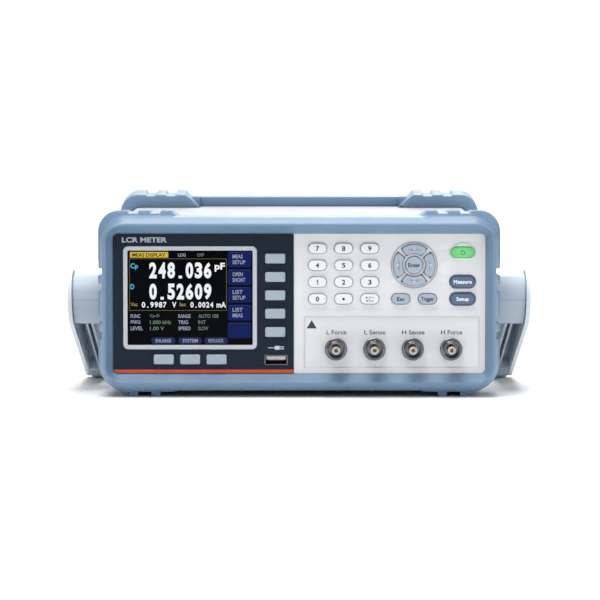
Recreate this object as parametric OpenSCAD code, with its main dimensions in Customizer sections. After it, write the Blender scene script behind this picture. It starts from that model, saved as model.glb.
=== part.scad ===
// Bench LCR meter: a steel sleeve between two moulded bumpers, a moulded front with a colour screen,
// thirty push keys and four coaxial jacks, and a carrying handle that swings from under the case.
// X runs across the front, Y from the front to the back, Z up. The origin is on the bench, under the middle.

/* [Case] */
// Width of the steel sleeve
sleeve_w = 213; // [210:1:260]
// Height of the steel sleeve
sleeve_h = 87; // [86:1:110]
// Depth over everything, from the jack tips to the rear bumper
overall_d = 312; // [280:1:380]
// Sheet thickness of the sleeve and the rear panel
sheet_t = 1.2; // [0.8:0.1:1.6]
// Corner radius of the sleeve
sleeve_r = 4; // [3:0.5:6]

/* [Bumpers] */
// Bumper wall at each side of the sleeve
wall_x = 7.4; // [6:0.1:10]
// Bumper wall above and below the sleeve
wall_z = 6.3; // [5:0.1:8]
// Height of the stacking pads over the bumper wall
pad_h = 3.7; // [3:0.1:5]
// Depth of the bumper along the middle of each side
bumper_d = 24; // [20:1:30]
// Depth of the bumper at its corners
corner_d = 44; // [32:1:50]
// How far the front panel lies behind the bumper's front
panel_recess = 7; // [5:0.5:9]

/* [Front panel] */
// Depth of the moulded bezel
bezel_d = 12; // [10:0.5:16]
// Thickness of the bezel's face
bezel_t = 2.6; // [2.2:0.1:3.5]
// Width of the dark display panel
display_w = 103.3; // [100:0.1:120]
// Width of the viewing area
screen_w = 71.6; // [66:0.1:72]
// Height of the viewing area
screen_h = 54.2; // [50:0.1:56]
// Visible width of the trim round the screen
trim_w = 2.5; // [1.5:0.1:4]
// Height of the accent strip under the display panel
strip_h = 1.9; // [1:0.1:3]

/* [Keys] */
// Width of a number key
key_w = 10.4; // [9:0.1:12]
// Height of a number key
key_h = 5.7; // [5:0.1:7]
// Distance between key columns
key_pitch_x = 14.95; // [13:0.05:16]
// Distance between key rows
key_pitch_z = 9.65; // [8.5:0.05:11]
// How far a key stands out of its panel
key_rise = 1.8; // [1.4:0.1:2.5]
// Travel of a key
key_travel = 1.0; // [0.5:0.1:1.3]
// Gap round a key
key_gap = 0.3; // [0.15:0.05:0.4]
// Diameter of the cursor ring
ring_d = 27; // [25:0.5:30]

/* [Jacks] */
// Distance between neighbouring coaxial jacks
jack_pitch = 22; // [20:0.5:24]
// Outer diameter of a jack's barrel
barrel_d = 9.7; // [9.6:0.05:10.5]
// How far the jack tips stand in front of the bumper
jack_proud = 6; // [4:0.5:9]

/* [Handle] */
// Distance from the handle's pivot to its cross bar
arm_len = 94; // [88:1:120]
// Distance of the pivot behind the front of the bumper
pivot_back = 50; // [42:1:60]
// Radius of the handle's boss
boss_r = 14.7; // [13:0.1:17]
// Length of the handle's boss
boss_len = 24; // [21:0.5:28]
// Width of each arm
arm_w = 10.5; // [9:0.5:13]
// Thickness of the cross bar
bar_t = 7; // [6:0.5:7.5]
// Depth of the cross bar
bar_d = 20; // [14:1:24]
// Radius of the pivot bolt
bolt_r = 3; // [2.5:0.1:4]

/* [Hidden] */
$fn = 48;
eps = 0.01;
fit_gap = 0.2;        // between moulded pieces that slip together
run_gap = 0.1;        // round a shaft that turns in its hole
floor_gap = 1.0;      // between the stowed handle and the bench

// Heights
base_w = sleeve_w + 2 * wall_x;
base_h = sleeve_h + 2 * wall_z;
overall_h = base_h + 2 * pad_h;
mid_z = overall_h / 2;
case_z0 = mid_z - sleeve_h / 2;
case_z1 = mid_z + sleeve_h / 2;

// Depths: the front bumper starts at front_y and the rear one ends at back_y
front_y = -overall_d / 2 + jack_proud;
back_y = overall_d / 2;
centre_y = (front_y + back_y) / 2;
panel_y = front_y + panel_recess;             // face of the bezel
plate_back_y = panel_y + bezel_t;             // back of the bezel's face
bezel_back_y = panel_y + bezel_d;
sleeve_y0 = bezel_back_y + fit_gap;
sleeve_y1 = back_y - panel_recess - fit_gap;
rear_y = sleeve_y1 - 1.5;                     // outer face of the rear panel

// Bumper outline
base_r = 15;
pad_r = 17;
top_pad_r = 12.5;
side_pad = 1;
foot_pad = 0.8;
open_w = sleeve_w;
open_h = sleeve_h - 7;
open_r = 2.5;
bezel_w = sleeve_w + 4;
bezel_h = sleeve_h - 0.6;
block_z = 25;                                 // the corner blocks start this far from the middle
pad_in = sleeve_w / 2 - 36.5;                 // inner end of a pad
pad_slope = 3.6;
foot_x = [pad_in + 12.2, pad_in + 25];
foot_w = 5.3;
notch_w = 6.2;
notch_front = pad_h - 0.7;                    // depth of a stacking notch at the front, then at the back
notch_back = pad_h - 2.2;
side_notch_z = [9.3, 18.1];
side_notch_w = 4;

// Front panel
open_z0 = mid_z - open_h / 2;
open_z1 = mid_z + open_h / 2;
open_x0 = -open_w / 2;
open_x1 = open_w / 2;
display_t = 2;
display_proud = 0.6;
display_y0 = panel_y - display_proud;
display_y1 = display_y0 + display_t;          // the bezel's pocket floor
display_x0 = open_x0 + fit_gap;
display_x1 = open_x0 + display_w;
strip_z0 = open_z0 + fit_gap;
strip_z1 = strip_z0 + strip_h;
strip_proud = 0.3;
trim_r = 3;
trim_proud = 0.6;
frame_w = screen_w + 2 * trim_w;
frame_h = screen_h + 2 * trim_w;
screen_x = display_x0 + 5.6 + frame_w / 2;
screen_z = mid_z + 3.3;
window_t = 1;
ledge = 0.6;                                  // how far the bezel reaches behind the window
soft_w = 11.5;
soft_h = 5.6;
soft_r = 0.9;
soft_x = screen_x + frame_w / 2 + 10.4;
soft_pitch_z = 10.53;
page_pitch_x = 15.1;
page_z = screen_z - frame_h / 2 - 5.7;
usb_z = page_z - 0.3;
zone_x0 = display_x1;                         // the light part of the panel
zone_w = open_x1 - zone_x0;
pill_w = 13.4;
pill_h = 5.9;
pad_total = 2 * key_pitch_x + key_w;
side_total = 15;
spare = zone_w - pad_total - ring_d - side_total;
keypad_x = zone_x0 + 0.31 * spare + key_w / 2;
ring_x = zone_x0 + 0.31 * spare + pad_total + 0.245 * spare + ring_d / 2;
side_x = open_x1 - 0.2 * spare - side_total / 2;
row_z = open_z1 - 8.4;                        // top row of the keypad
last_row_z = row_z - 3 * key_pitch_z;
ring_z = row_z - 9.5;
enter_d = 9.8;
arrow_r0 = 6.8;
arrow_r1 = 11.9;
arrow_half = 38;
esc_off = 7.65;
power_z = row_z - 2.2;
measure_z = last_row_z + 9.9;
halo_w = 14.9;
halo_h = 7.5;
halo_r = 5.6;
halo_proud = 0.4;
halo_seat = 0.8;

// Number keys, cursor keys, command keys and soft keys: [name, x, z, kind]
digit_names = [["key_7", "key_8", "key_9"], ["key_4", "key_5", "key_6"],
               ["key_1", "key_2", "key_3"], ["key_0", "key_point", "key_sign"]];
KEYS = concat(
    [for (row = [0:3], col = [0:2])
        [digit_names[row][col], keypad_x + col * key_pitch_x, row_z - row * key_pitch_z, "digit"]],
    [["key_up", ring_x, ring_z, "up"], ["key_down", ring_x, ring_z, "down"],
     ["key_left", ring_x, ring_z, "left"], ["key_right", ring_x, ring_z, "right"],
     ["key_enter", ring_x, ring_z, "round"],
     ["key_esc", ring_x - esc_off, last_row_z, "digit"], ["key_trigger", ring_x + esc_off, last_row_z, "digit"],
     ["key_power", side_x, power_z, "pill"],
     ["key_measure", side_x, measure_z, "pill"], ["key_setup", side_x, last_row_z, "pill"]],
    [for (i = [0:4]) [str("soft_key_", i + 1), soft_x, screen_z + (2 - i) * soft_pitch_z + 1.5, "soft"]],
    [for (i = [0:2]) [str("page_key_", i + 1), screen_x + (i - 1) * page_pitch_x, page_z, "soft"]]
);

// Key depths, from the front back: cap, flange behind the bezel, stem, then the switch on its board
flange_gap = 0.2;
flange_t = 1;
flange_rim = 0.9;
stem_r = 1.5;
stem_len = 2.1;
flange_y0 = plate_back_y + flange_gap;
stem_end_y = flange_y0 + flange_t + stem_len;
switch_clear = 0.1;                           // between a fully pressed stem and its switch
switch_top_y = stem_end_y + key_travel + switch_clear;
switch_h = 4.5;
switch_body_h = 3.5;
switch_w = 6;
board_t = 1.6;
front_board_y = switch_top_y + switch_h;      // front face of the key board

board_x0 = -bezel_w / 2 + 6;
board_x1 = bezel_w / 2 - 6;
board_z0 = case_z0 + 3;
board_z1 = case_z1 - 3;
post_r = 2.6;
post_bore_r = 1.1;
post_places = [[board_x0 + 4, board_z1 - 3], [board_x0 + 4, board_z0 + 3.4],
               [board_x1 - 3, board_z1 - 3], [zone_x0 + 0.8, board_z0 + 3.4]];

// Jacks
jack_x = (zone_x0 + open_x1) / 2 + 2.45;
jack_recess = 1;
jack_y = panel_y + jack_recess;               // face of the jack plate
plate_w = zone_w - 9.6;
plate_h = 29.1;
plate_t = 1.6;
plate_x = (zone_x0 + open_x1) / 2 + 1.4;
plate_z = open_z0 + 3.4 + plate_h / 2;
jack_z = plate_z - 4.2;
barrel_r = barrel_d / 2;
jack_flange_r = 6.4;
jack_flange_t = 2.2;
jack_bore_r = 4.1;
jack_bore_d = 11;
shank_r = 4.75;
shank_len = 11;
insulator_r = 2.4;
contact_r = 1.1;
contact_bore_r = 0.7;
nut_af = 14;
nut_t = 2.4;
jack_len = jack_y - (front_y - jack_proud);
relief_r = barrel_r - 0.25;                   // the barrel is waisted behind its lugs
lug_y = 5.3;                                  // lug axis behind the tip
lug_r = 1;
land_y = lug_y - lug_r;                       // the full-size land ends in front of the lugs
lug_over = 0.75;

// Handle: it is stowed under the case, so its angle follows from the heights
pivot_y = front_y + pivot_back;
pivot_z = mid_z;
bar_z = floor_gap + bar_t / 2;
stow = asin((pivot_z - bar_z) / arm_len);     // arm's slope below the horizontal
bar_y = pivot_y + arm_len * cos(stow);
boss_x0 = sleeve_w / 2 + 0.5;
boss_x1 = boss_x0 + boss_len;
lean = 2.8;                                   // each arm leans in towards the bar
cover_t = 2.5;
cover_r = 17;
cover_gap = 0.15;
arm_top_wall = 2.2;
arm_rib = 1;
hub_r = boss_r - 4.2;
hub_len = 9;
cup_depth = hub_len + fit_gap;
bolt_head_r = 6;
bolt_head_t = 2.5;

// ---- helpers: a 2D outline in (x, z) run along Y, and one in (y, z) run along X ----
module along_y(y0, y1) translate([0, y1, 0]) rotate([90, 0, 0]) linear_extrude(y1 - y0) children();
module along_x(x0, x1) translate([x0, 0, 0]) rotate([90, 0, 90]) linear_extrude(x1 - x0) children();
module rod_y(r, y0, y1, x = 0, z = 0) translate([x, y1, z]) rotate([90, 0, 0]) cylinder(r = r, h = y1 - y0);
module rod_x(r, x0, x1, y = 0, z = 0) translate([x0, y, z]) rotate([0, 90, 0]) cylinder(r = r, h = x1 - x0);
module block(lo, hi) translate(lo) cube([hi[0] - lo[0], hi[1] - lo[1], hi[2] - lo[2]]);
module both_sides() for (s = [1, -1]) scale_x(s) children();
module scale_x(s) if (s > 0) children(); else mirror([1, 0, 0]) children();
module rrect(w, h, r, x = 0, z = mid_z) translate([x, z]) {
    square([w - 2 * r, h], center = true);
    square([w, h - 2 * r], center = true);
    for (sx = [1, -1], sz = [1, -1]) translate([sx * (w / 2 - r), sz * (h / 2 - r)]) circle(r = r);
}
function unit(a) = [cos(a), sin(a)];
// A bar with round ends of two radii; its flanks stop a hair inside the tangents
module tapered_bar(c1, r1, c2, r2) {
    d = c2 - c1;
    a = atan2(d[1], d[0]);
    b = acos((r1 - r2) / norm(d));
    translate(c1) circle(r = r1);
    translate(c2) circle(r = r2);
    q1 = r1 - 0.03;
    q2 = r2 - 0.03;
    polygon([c1 + q1 * unit(a + b), c1 + q1 * unit(a - b), c2 + q2 * unit(a - b), c2 + q2 * unit(a + b)]);
}

// ---- bumpers ----
// The blocks' inner ends slope from the top of a pad down to the sleeve
block_in = pad_in - wall_z * pad_slope / pad_h;
module corner_zone() for (sx = [1, -1], sz = [1, -1]) translate([0, mid_z]) scale([sx, sz])
    polygon([[block_in, block_z], [block_in, sleeve_h / 2], [pad_in + pad_slope, base_h / 2 + pad_h],
             [base_w, base_h / 2 + pad_h], [base_w, block_z]]);
module bumper_ring() difference() {
    union() {
        // rounded front edge, then the straight ring
        hull() {
            along_y(front_y, front_y + 0.1) rrect(base_w - 5, base_h - 9, 11);
            along_y(front_y + 1.4, front_y + 1.5) rrect(base_w - 2.2, base_h - 4, 13);
            along_y(front_y + 5, front_y + 6) rrect(base_w, base_h, base_r);
        }
        along_y(front_y + 5.5, front_y + bumper_d) rrect(base_w, base_h, base_r);
        // side pads, corner blocks and stacking pads
        along_y(front_y + 5.5, front_y + bumper_d) intersection() {
            rrect(base_w + 2 * side_pad, base_h, base_r);
            translate([0, mid_z]) square([2 * base_w, 2 * block_z + 2 * base_r], center = true);
        }
        along_y(front_y + 5.5, front_y + corner_d) intersection() {
            rrect(base_w + 2 * side_pad, base_h + 2 * foot_pad, pad_r);
            corner_zone();
        }
        along_y(front_y + 6.5, front_y + corner_d) intersection() {
            rrect(base_w + 2 * side_pad + 0.3, base_h + 2 * pad_h, top_pad_r);
            corner_zone();
            translate([-base_w, mid_z]) square([2 * base_w, base_h]);
        }
        for (sx = [1, -1], x = foot_x)
            block([sx * x - foot_w / 2, front_y + 8, 0], [sx * x + foot_w / 2, front_y + corner_d - 4, pad_h + 1]);
    }
    // inner bevel down to the panel
    hull() {
        along_y(front_y - 0.2, front_y) rrect(open_w + 7.6, open_h + 9, 8);
        along_y(panel_y, panel_y + 0.2) rrect(open_w, open_h, open_r);
    }
    // stacking notches above, grip notches at the sides
    for (sx = [1, -1], x = foot_x) hull() for (end = [[front_y - 1, notch_front], [front_y + corner_d + 1, notch_back]]) {
        block([sx * x - notch_w / 2 + 0.9, end[0], overall_h - end[1]],
              [sx * x + notch_w / 2 - 0.9, end[0] + 0.1, overall_h - end[1] + 0.1]);
        block([sx * x - notch_w / 2 - 0.1, end[0], overall_h + 0.1],
              [sx * x + notch_w / 2 + 0.1, end[0] + 0.1, overall_h + 0.2]);
    }
    for (sx = [1, -1], sz = [1, -1], z = side_notch_z)
        block([sx * (base_w / 2 + 1) - 2.4, front_y + 2, mid_z + sz * z - side_notch_w / 2],
              [sx * (base_w / 2 + 1) + 2.4, front_y + bumper_d + 1, mid_z + sz * z + side_notch_w / 2]);
}
module sleeve_pocket(y0) along_y(y0, front_y + corner_d + 1)
    rrect(sleeve_w + 2 * fit_gap, sleeve_h + 2 * fit_gap, sleeve_r);
module front_bumper() color([0.52, 0.63, 0.75]) difference() {
    bumper_ring();
    along_y(panel_y, bezel_back_y + fit_gap) rrect(bezel_w + 2 * fit_gap, bezel_h + 2 * fit_gap, sleeve_r);
    sleeve_pocket(bezel_back_y);
}
module rear_bumper() color([0.52, 0.63, 0.75]) translate([0, 2 * centre_y, 0]) mirror([0, 1, 0]) difference() {
    bumper_ring();
    sleeve_pocket(panel_y);
}

// ---- sheet metal ----
rear_w = sleeve_w - 2 * sheet_t - 2 * fit_gap;
rear_h = sleeve_h - 2 * sheet_t - 2 * fit_gap;
rear_t = 1.5;
rear_screw_x = rear_w / 2 - 8;
rear_screw_z = rear_h / 2 - 8;
screw_r = 1.5;
screw_hole_r = 1.6;
rear_screws = [for (sx = [1, -1], sz = [1, -1]) [sx * rear_screw_x, mid_z + sz * rear_screw_z]];
// Tab bent in behind the rear panel, drawn for the upper corners
module rear_tab(x, edge, wall) block([x - 5, rear_y - sheet_t, min(edge, wall)], [x + 5, rear_y, max(edge, wall)]);
vent_w = 2.2;
vent_pitch = 6;
vent_count = 14;
vent_h = sleeve_h - 40;
module sleeve_outline(inset) rrect(sleeve_w - 2 * inset, sleeve_h - 2 * inset, sleeve_r - inset / 2);
module top_cover() color([0.87, 0.88, 0.9]) difference() {
    union() {
        along_y(sleeve_y0, sleeve_y1) difference() {
            sleeve_outline(0);
            sleeve_outline(sheet_t);
            translate([-sleeve_w / 2 + sheet_t, case_z0 - 1]) square([sleeve_w - 2 * sheet_t, sleeve_h / 2]);
            translate([-sleeve_w, case_z0 - 1]) square([2 * sleeve_w, sleeve_r + 1]);
        }
        for (s = [1, -1]) rear_tab(s * rear_screw_x, mid_z + rear_screw_z - 5, case_z1 - 0.5);
    }
    for (p = rear_screws) rod_y(screw_hole_r, rear_y - 3, rear_y + 1, p[0], p[1]);
    for (s = [1, -1], i = [0:vent_count - 1])
        block([s * sleeve_w / 2 - 3, sleeve_y1 - 40 - i * vent_pitch - vent_w, mid_z - vent_h / 2],
              [s * sleeve_w / 2 + 3, sleeve_y1 - 40 - i * vent_pitch, mid_z + vent_h / 2]);
    for (s = [1, -1]) rod_x(bolt_r + run_gap, s * sleeve_w / 2 - 4, s * sleeve_w / 2 + 4, pivot_y, pivot_z);
}

pan_flange = 15;
pan_half = sleeve_w / 2 - sheet_t - fit_gap;
pan_front_y = sleeve_y0;
pan_back_y = rear_y;
stud_h = 9;
stud_r = 3;
stud_hole_r = 1.2;
main_w = sleeve_w - 30;
main_y0 = front_board_y + board_t + 14;
main_y1 = rear_y - 12;
supply_w = 70;
supply_d = 110;
main_board_w = main_w - supply_w - 6;         // the supply has its own board on the left
main_x0 = -main_w / 2 + supply_w + 6;
main_x1 = main_w / 2;
supply_x0 = -main_w / 2;
supply_x1 = supply_x0 + supply_w;
supply_y1 = main_y1;
supply_y0 = supply_y1 - supply_d;
board_z = case_z0 + sheet_t + stud_h;         // underside of both boards
inset_hole = 6;
main_holes = [for (x = [main_x0 + inset_hole, main_x1 - inset_hole], y = [main_y0 + inset_hole, main_y1 - inset_hole]) [x, y]];
supply_holes = [for (x = [supply_x0 + inset_hole, supply_x1 - inset_hole], y = [supply_y0 + inset_hole, supply_y1 - inset_hole]) [x, y]];
board_holes = concat(main_holes, supply_holes);
module bottom_pan() color([0.75, 0.76, 0.78]) difference() {
    union() {
        along_y(pan_front_y, pan_back_y) intersection() {
            sleeve_outline(0);
            difference() {
                translate([-pan_half, case_z0 - 1]) square([2 * pan_half, pan_flange + 1]);
                translate([-pan_half + sheet_t, case_z0 + sheet_t]) square([2 * (pan_half - sheet_t), pan_flange]);
            }
        }
        for (h = board_holes) translate([h[0], h[1], case_z0]) cylinder(r = stud_r, h = sheet_t + stud_h);
        for (s = [1, -1]) rear_tab(s * rear_screw_x, mid_z - rear_screw_z + 5, case_z0 + 0.5);
    }
    for (p = rear_screws) rod_y(screw_hole_r, rear_y - 3, rear_y + 1, p[0], p[1]);
    for (h = board_holes) translate([h[0], h[1], case_z0 + sheet_t + 1]) cylinder(r = stud_hole_r, h = stud_h);
    // vent rows in the floor
    for (i = [0:9], j = [-1, 1])
        block([j * 45 - 20, 0 + i * 6, case_z0 - 1], [j * 45 + 20, 2.2 + i * 6, case_z0 + sheet_t + 1]);
}

// Rear panel and what it carries
inlet_x = -sleeve_w / 2 + 44;
inlet_z = mid_z - 8;
inlet_w = 30.6;
inlet_h = 22.4;
rocker_x = inlet_x;
rocker_z = inlet_z + 25;
rocker_w = 21;
rocker_h = 13;
port_z = mid_z - 16;
rs_x = 12;
handler_x = 56;
usb_b_x = 88;
dsub_cut_h = 11;
rs_cut_w = 21;
handler_cut_w = 44;
module rear_panel() color([0.8, 0.81, 0.83]) difference() {
    along_y(rear_y, rear_y + rear_t) difference() {
        rrect(rear_w, rear_h, 3);
        rrect(inlet_w - 3, inlet_h - 1, 2, inlet_x, inlet_z);
        rrect(rocker_w + 2 * fit_gap, rocker_h + 2 * fit_gap, 1, rocker_x, rocker_z);
        rrect(rs_cut_w, dsub_cut_h, 2, rs_x, port_z);
        rrect(handler_cut_w, dsub_cut_h, 2, handler_x, port_z);
        rrect(12.6, 11.6, 1, usb_b_x, port_z);
        for (p = rear_screws) translate(p) circle(r = screw_hole_r);
        // vents above the ports
        for (i = [0:11]) rrect(2.4, 22, 1.1, 4 + i * 7, mid_z + 18);
    }
}

// ---- front panel ----
module display_field() translate([display_x0 - fit_gap, open_z0])
    square([display_x1 - display_x0 + 2 * fit_gap, open_h]);
module halo_2d(grow = 0) {
    rrect(halo_w + 2 * grow, halo_h + 2 * grow, halo_h / 2 + grow - eps, side_x, power_z);
    translate([side_x, power_z]) circle(r = halo_r + grow);
}
module arrow_2d(turn, grow = 0) translate([ring_x, ring_z]) rotate(turn) intersection() {
    difference() {
        circle(r = arrow_r1 + grow);
        circle(r = arrow_r0 - grow);
    }
    polygon([[0, -grow * 2], [40 * sin(arrow_half), 40 * cos(arrow_half) - grow * 2],
             [-40 * sin(arrow_half), 40 * cos(arrow_half) - grow * 2]]);
}
// Outline of a key, grown for its hole or its flange
module key_2d(k, grow = 0) {
    kind = k[3];
    if (kind == "digit") rrect(key_w + 2 * grow, key_h + 2 * grow, key_h / 2 + grow - eps, k[1], k[2]);
    if (kind == "pill") rrect(pill_w + 2 * grow, pill_h + 2 * grow, pill_h / 2 + grow - eps, k[1], k[2]);
    if (kind == "soft") rrect(soft_w + 2 * grow, soft_h + 2 * grow, soft_r + grow, k[1], k[2]);
    if (kind == "round") translate([k[1], k[2]]) circle(r = enter_d / 2 + grow);
    if (kind == "up") arrow_2d(0, grow);
    if (kind == "left") arrow_2d(90, grow);
    if (kind == "down") arrow_2d(180, grow);
    if (kind == "right") arrow_2d(270, grow);
}
// Where a key's stem stands, measured from the key's own point
function stem_of(k) = let (m = (arrow_r0 + arrow_r1) / 2)
    k[3] == "up" ? [k[1], k[2] + m] : k[3] == "down" ? [k[1], k[2] - m] :
    k[3] == "left" ? [k[1] - m, k[2]] : k[3] == "right" ? [k[1] + m, k[2]] : [k[1], k[2]];
function is_soft(k) = k[3] == "soft";
function key_front(k) = (is_soft(k) ? display_y0 : panel_y) - key_rise;
function key_rim(k) = is_soft(k) || k[3] == "digit" || k[3] == "pill" ? flange_rim : k[3] == "round" ? 0.8 : 0.6;

module jack_places() for (i = [-1.5:1:1.5]) translate([jack_x + i * jack_pitch, 0, jack_z]) children();
usb_x = soft_x + 0.5;
usb_w = 13.1;
usb_h = 5.9;
module front_bezel() color([0.85, 0.86, 0.88]) difference() {
    union() {
        difference() {
            along_y(panel_y, bezel_back_y) rrect(bezel_w, bezel_h, sleeve_r);
            along_y(plate_back_y, bezel_back_y + 1) rrect(bezel_w - 5, sleeve_h - 5, sleeve_r - 1);
        }
        // posts that the key board is screwed to
        for (p = post_places) rod_y(post_r, plate_back_y - 0.5, front_board_y, p[0], p[1]);
    }
    for (p = post_places) rod_y(post_bore_r, plate_back_y + 0.6, front_board_y + 1, p[0], p[1]);
    // seat of the light surround's flange
    along_y(plate_back_y - halo_seat, plate_back_y + 1) halo_2d(0.65);
    along_y(panel_y - 1, display_y1) display_field();
    along_y(panel_y - 1, plate_back_y + 1) {
        rrect(screen_w - 2 * ledge, screen_h - 2 * ledge, 1, screen_x, screen_z);
        rrect(usb_w + 2 * fit_gap, usb_h + 2 * fit_gap, 0.8, usb_x, usb_z);
        for (k = KEYS) if (k[0] != "key_power") key_2d(k, key_gap);
        halo_2d(0);
    }
    // sunk field of the keypad, the cursor ring's groove and the pocket for the jack plate
    along_y(panel_y - 1, panel_y + 0.3)
        rrect(zone_w - 8, open_h - plate_h - 10.5, 2, plate_x - 0.3, open_z1 - 3 - (open_h - plate_h - 10.5) / 2);
    along_y(panel_y - 1, panel_y + 0.6) translate([ring_x, ring_z]) difference() {
        circle(d = ring_d);
        circle(d = ring_d - 0.9);
    }
    along_y(panel_y - 1, jack_y) rrect(plate_w + 0.6, plate_h + 0.6, 1, plate_x, plate_z);
    along_y(panel_y - 1, plate_back_y - 0.6) rrect(plate_w + 0.1, plate_h + 0.1, 1, plate_x, plate_z);
    jack_places() rod_y(shank_r + 0.4, panel_y, plate_back_y + 1);
}
// The opening less a slip gap, which the pieces in its corners follow
module open_inset() rrect(open_w - 2 * fit_gap, open_h - 2 * fit_gap, open_r);
module display_panel() color([0.1, 0.14, 0.2]) difference() {
    along_y(display_y0, display_y1) difference() {
        intersection() {
            open_inset();
            translate([display_x0 - 1, strip_z1 + eps])
                square([display_x1 - display_x0 + 1, open_z1 - strip_z1]);
        }
        rrect(frame_w + 0.2, frame_h + 0.2, trim_r, screen_x, screen_z);
        rrect(usb_w + 2 * fit_gap, usb_h + 2 * fit_gap, 0.8, usb_x, usb_z);
        for (k = KEYS) if (is_soft(k)) key_2d(k, key_gap);
    }
}
module accent_strip() color([0.85, 0.3, 0.15]) along_y(display_y0 - strip_proud, display_y1)
    intersection() {
        open_inset();
        translate([display_x0 - 1, strip_z0]) square([display_x1 - display_x0 + 1, strip_h]);
    }
module lcd_frame() color([0.75, 0.77, 0.8]) along_y(display_y0 - trim_proud, display_y1) difference() {
    rrect(frame_w, frame_h, trim_r, screen_x, screen_z);
    rrect(screen_w, screen_h, 0.8, screen_x, screen_z);
}
module lcd_window() color([0.05, 0.05, 0.08, 0.4]) along_y(display_y1 - window_t, display_y1)
    rrect(screen_w - 0.1, screen_h - 0.1, 0.75, screen_x, screen_z);
module_w = screen_w + 5.3;
module_h = screen_h + 8;
lcd_t = 3.2;
module lcd_module() color([0.25, 0.25, 0.28]) {
    low_z = max(screen_z - module_h / 2, page_z + soft_h / 2 + flange_rim + 0.4);
    block([screen_x - module_w / 2, plate_back_y, low_z],
          [screen_x + module_w / 2 - 1.6, plate_back_y + lcd_t, screen_z + module_h / 2]);
}
module power_light_ring() color([0.8, 0.92, 0.84]) difference() {
    union() {
        along_y(panel_y - halo_proud, plate_back_y) halo_2d(-0.05);
        along_y(plate_back_y - halo_seat, plate_back_y) halo_2d(0.6);
    }
    along_y(panel_y - 2, plate_back_y + 2) key_2d(["", side_x, power_z, "pill"], key_gap);
}

// ---- keys, their board and switches ----
function key_colour(k) = is_soft(k) ? [0.8, 0.83, 0.86] : k[0] == "key_power" ? [0.45, 0.85, 0.5] :
    k[3] == "pill" ? [0.33, 0.4, 0.5] : k[3] == "digit" ? [0.93, 0.94, 0.95] : [0.7, 0.76, 0.82];
module key(k) color(key_colour(k)) {
    s = stem_of(k);
    along_y(key_front(k), flange_y0) key_2d(k);
    along_y(flange_y0, flange_y0 + flange_t) key_2d(k, key_rim(k));
    rod_y(stem_r, flange_y0 + flange_t, stem_end_y, s[0], s[1]);
}
module front_board() color([0.1, 0.4, 0.25]) difference() {
    block([board_x0, front_board_y, board_z0], [board_x1, front_board_y + board_t, board_z1]);
    block([zone_x0 + 4, front_board_y - 1, board_z0 - 1],
          [board_x1 + 1, front_board_y + board_t + 1, plate_z + plate_h / 2 + 1]);
    for (p = post_places) rod_y(1.3, front_board_y - 1, front_board_y + board_t + 1, p[0], p[1]);
}
module key_switches() color([0.15, 0.15, 0.17]) for (k = KEYS) {
    s = stem_of(k);
    // the four cursor switches stand closer than their bodies are wide
    w = k[3] == "round" ? 5 : switch_w;
    block([s[0] - w / 2, front_board_y - switch_body_h, s[1] - w / 2], [s[0] + w / 2, front_board_y, s[1] + w / 2]);
    rod_y(1.7, switch_top_y, front_board_y - switch_body_h, s[0], s[1]);
}
usb_y0 = display_y0 - 0.4;
usb_wall = 0.4;
module usb_host_port() {
    color([0.8, 0.8, 0.82]) difference() {
        along_y(usb_y0, front_board_y) rrect(usb_w, usb_h, 0.7, usb_x, usb_z);
        along_y(usb_y0 - 1, front_board_y - 1.4) rrect(usb_w - 2 * usb_wall, usb_h - 2 * usb_wall, 0.4, usb_x, usb_z);
    }
    color([0.1, 0.1, 0.1]) block([usb_x - 5.5, usb_y0 + 1, usb_z + 0.2], [usb_x + 5.5, front_board_y - 1.4, usb_z + 2.1]);
}

// ---- coaxial jacks ----
module jack_plate() color([0.84, 0.86, 0.87]) difference() {
    along_y(jack_y, plate_back_y - 0.6) rrect(plate_w, plate_h, 1, plate_x, plate_z);
    jack_places() rod_y(shank_r + fit_gap, jack_y - 1, plate_back_y + 1);
}
// A body turned about its own axis: z runs from the plate towards the tip
module turned() translate([0, jack_y, 0]) rotate([90, 0, 0]) children();
module jack_bodies() color([0.75, 0.74, 0.72]) jack_places() turned() {
    rotate_extrude() polygon([
        [insulator_r, -shank_len], [shank_r, -shank_len], [shank_r, 0], [jack_flange_r, 0],
        [jack_flange_r, jack_flange_t], [relief_r, jack_flange_t + 0.6], [relief_r, jack_len - land_y],
        [barrel_r, jack_len - land_y], [barrel_r, jack_len - 0.3], [barrel_r - 0.3, jack_len],
        [jack_bore_r, jack_len], [jack_bore_r, jack_len - jack_bore_d], [insulator_r, jack_len - jack_bore_d]]);
    for (s = [0, 180]) rotate([0, 0, s]) translate([0, jack_bore_r + 0.2, jack_len - lug_y])
        rotate([-90, 0, 0]) cylinder(r = lug_r, h = barrel_r + lug_over - jack_bore_r - 0.2);
}
module jack_insulators() color([0.93, 0.92, 0.88]) jack_places() turned() rotate_extrude()
    polygon([[contact_r, -shank_len - 1], [insulator_r, -shank_len - 1], [insulator_r, jack_len - 3],
             [contact_r, jack_len - 3]]);
module jack_contacts() color([0.85, 0.68, 0.35]) jack_places() turned() difference() {
    translate([0, 0, -shank_len - 4]) cylinder(r = contact_r, h = shank_len + 4 + jack_len - 2.4);
    translate([0, 0, jack_len - 2.4 - 5]) cylinder(r = contact_bore_r, h = 6);
}
module jack_nuts() color([0.7, 0.7, 0.68]) jack_places() rotate([90, 0, 0])
    translate([0, 0, -plate_back_y - nut_t]) difference() {
        cylinder(d = nut_af / cos(30), h = nut_t, $fn = 6);
        translate([0, 0, -1]) cylinder(r = shank_r + 0.05, h = nut_t + 2);
    }

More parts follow.
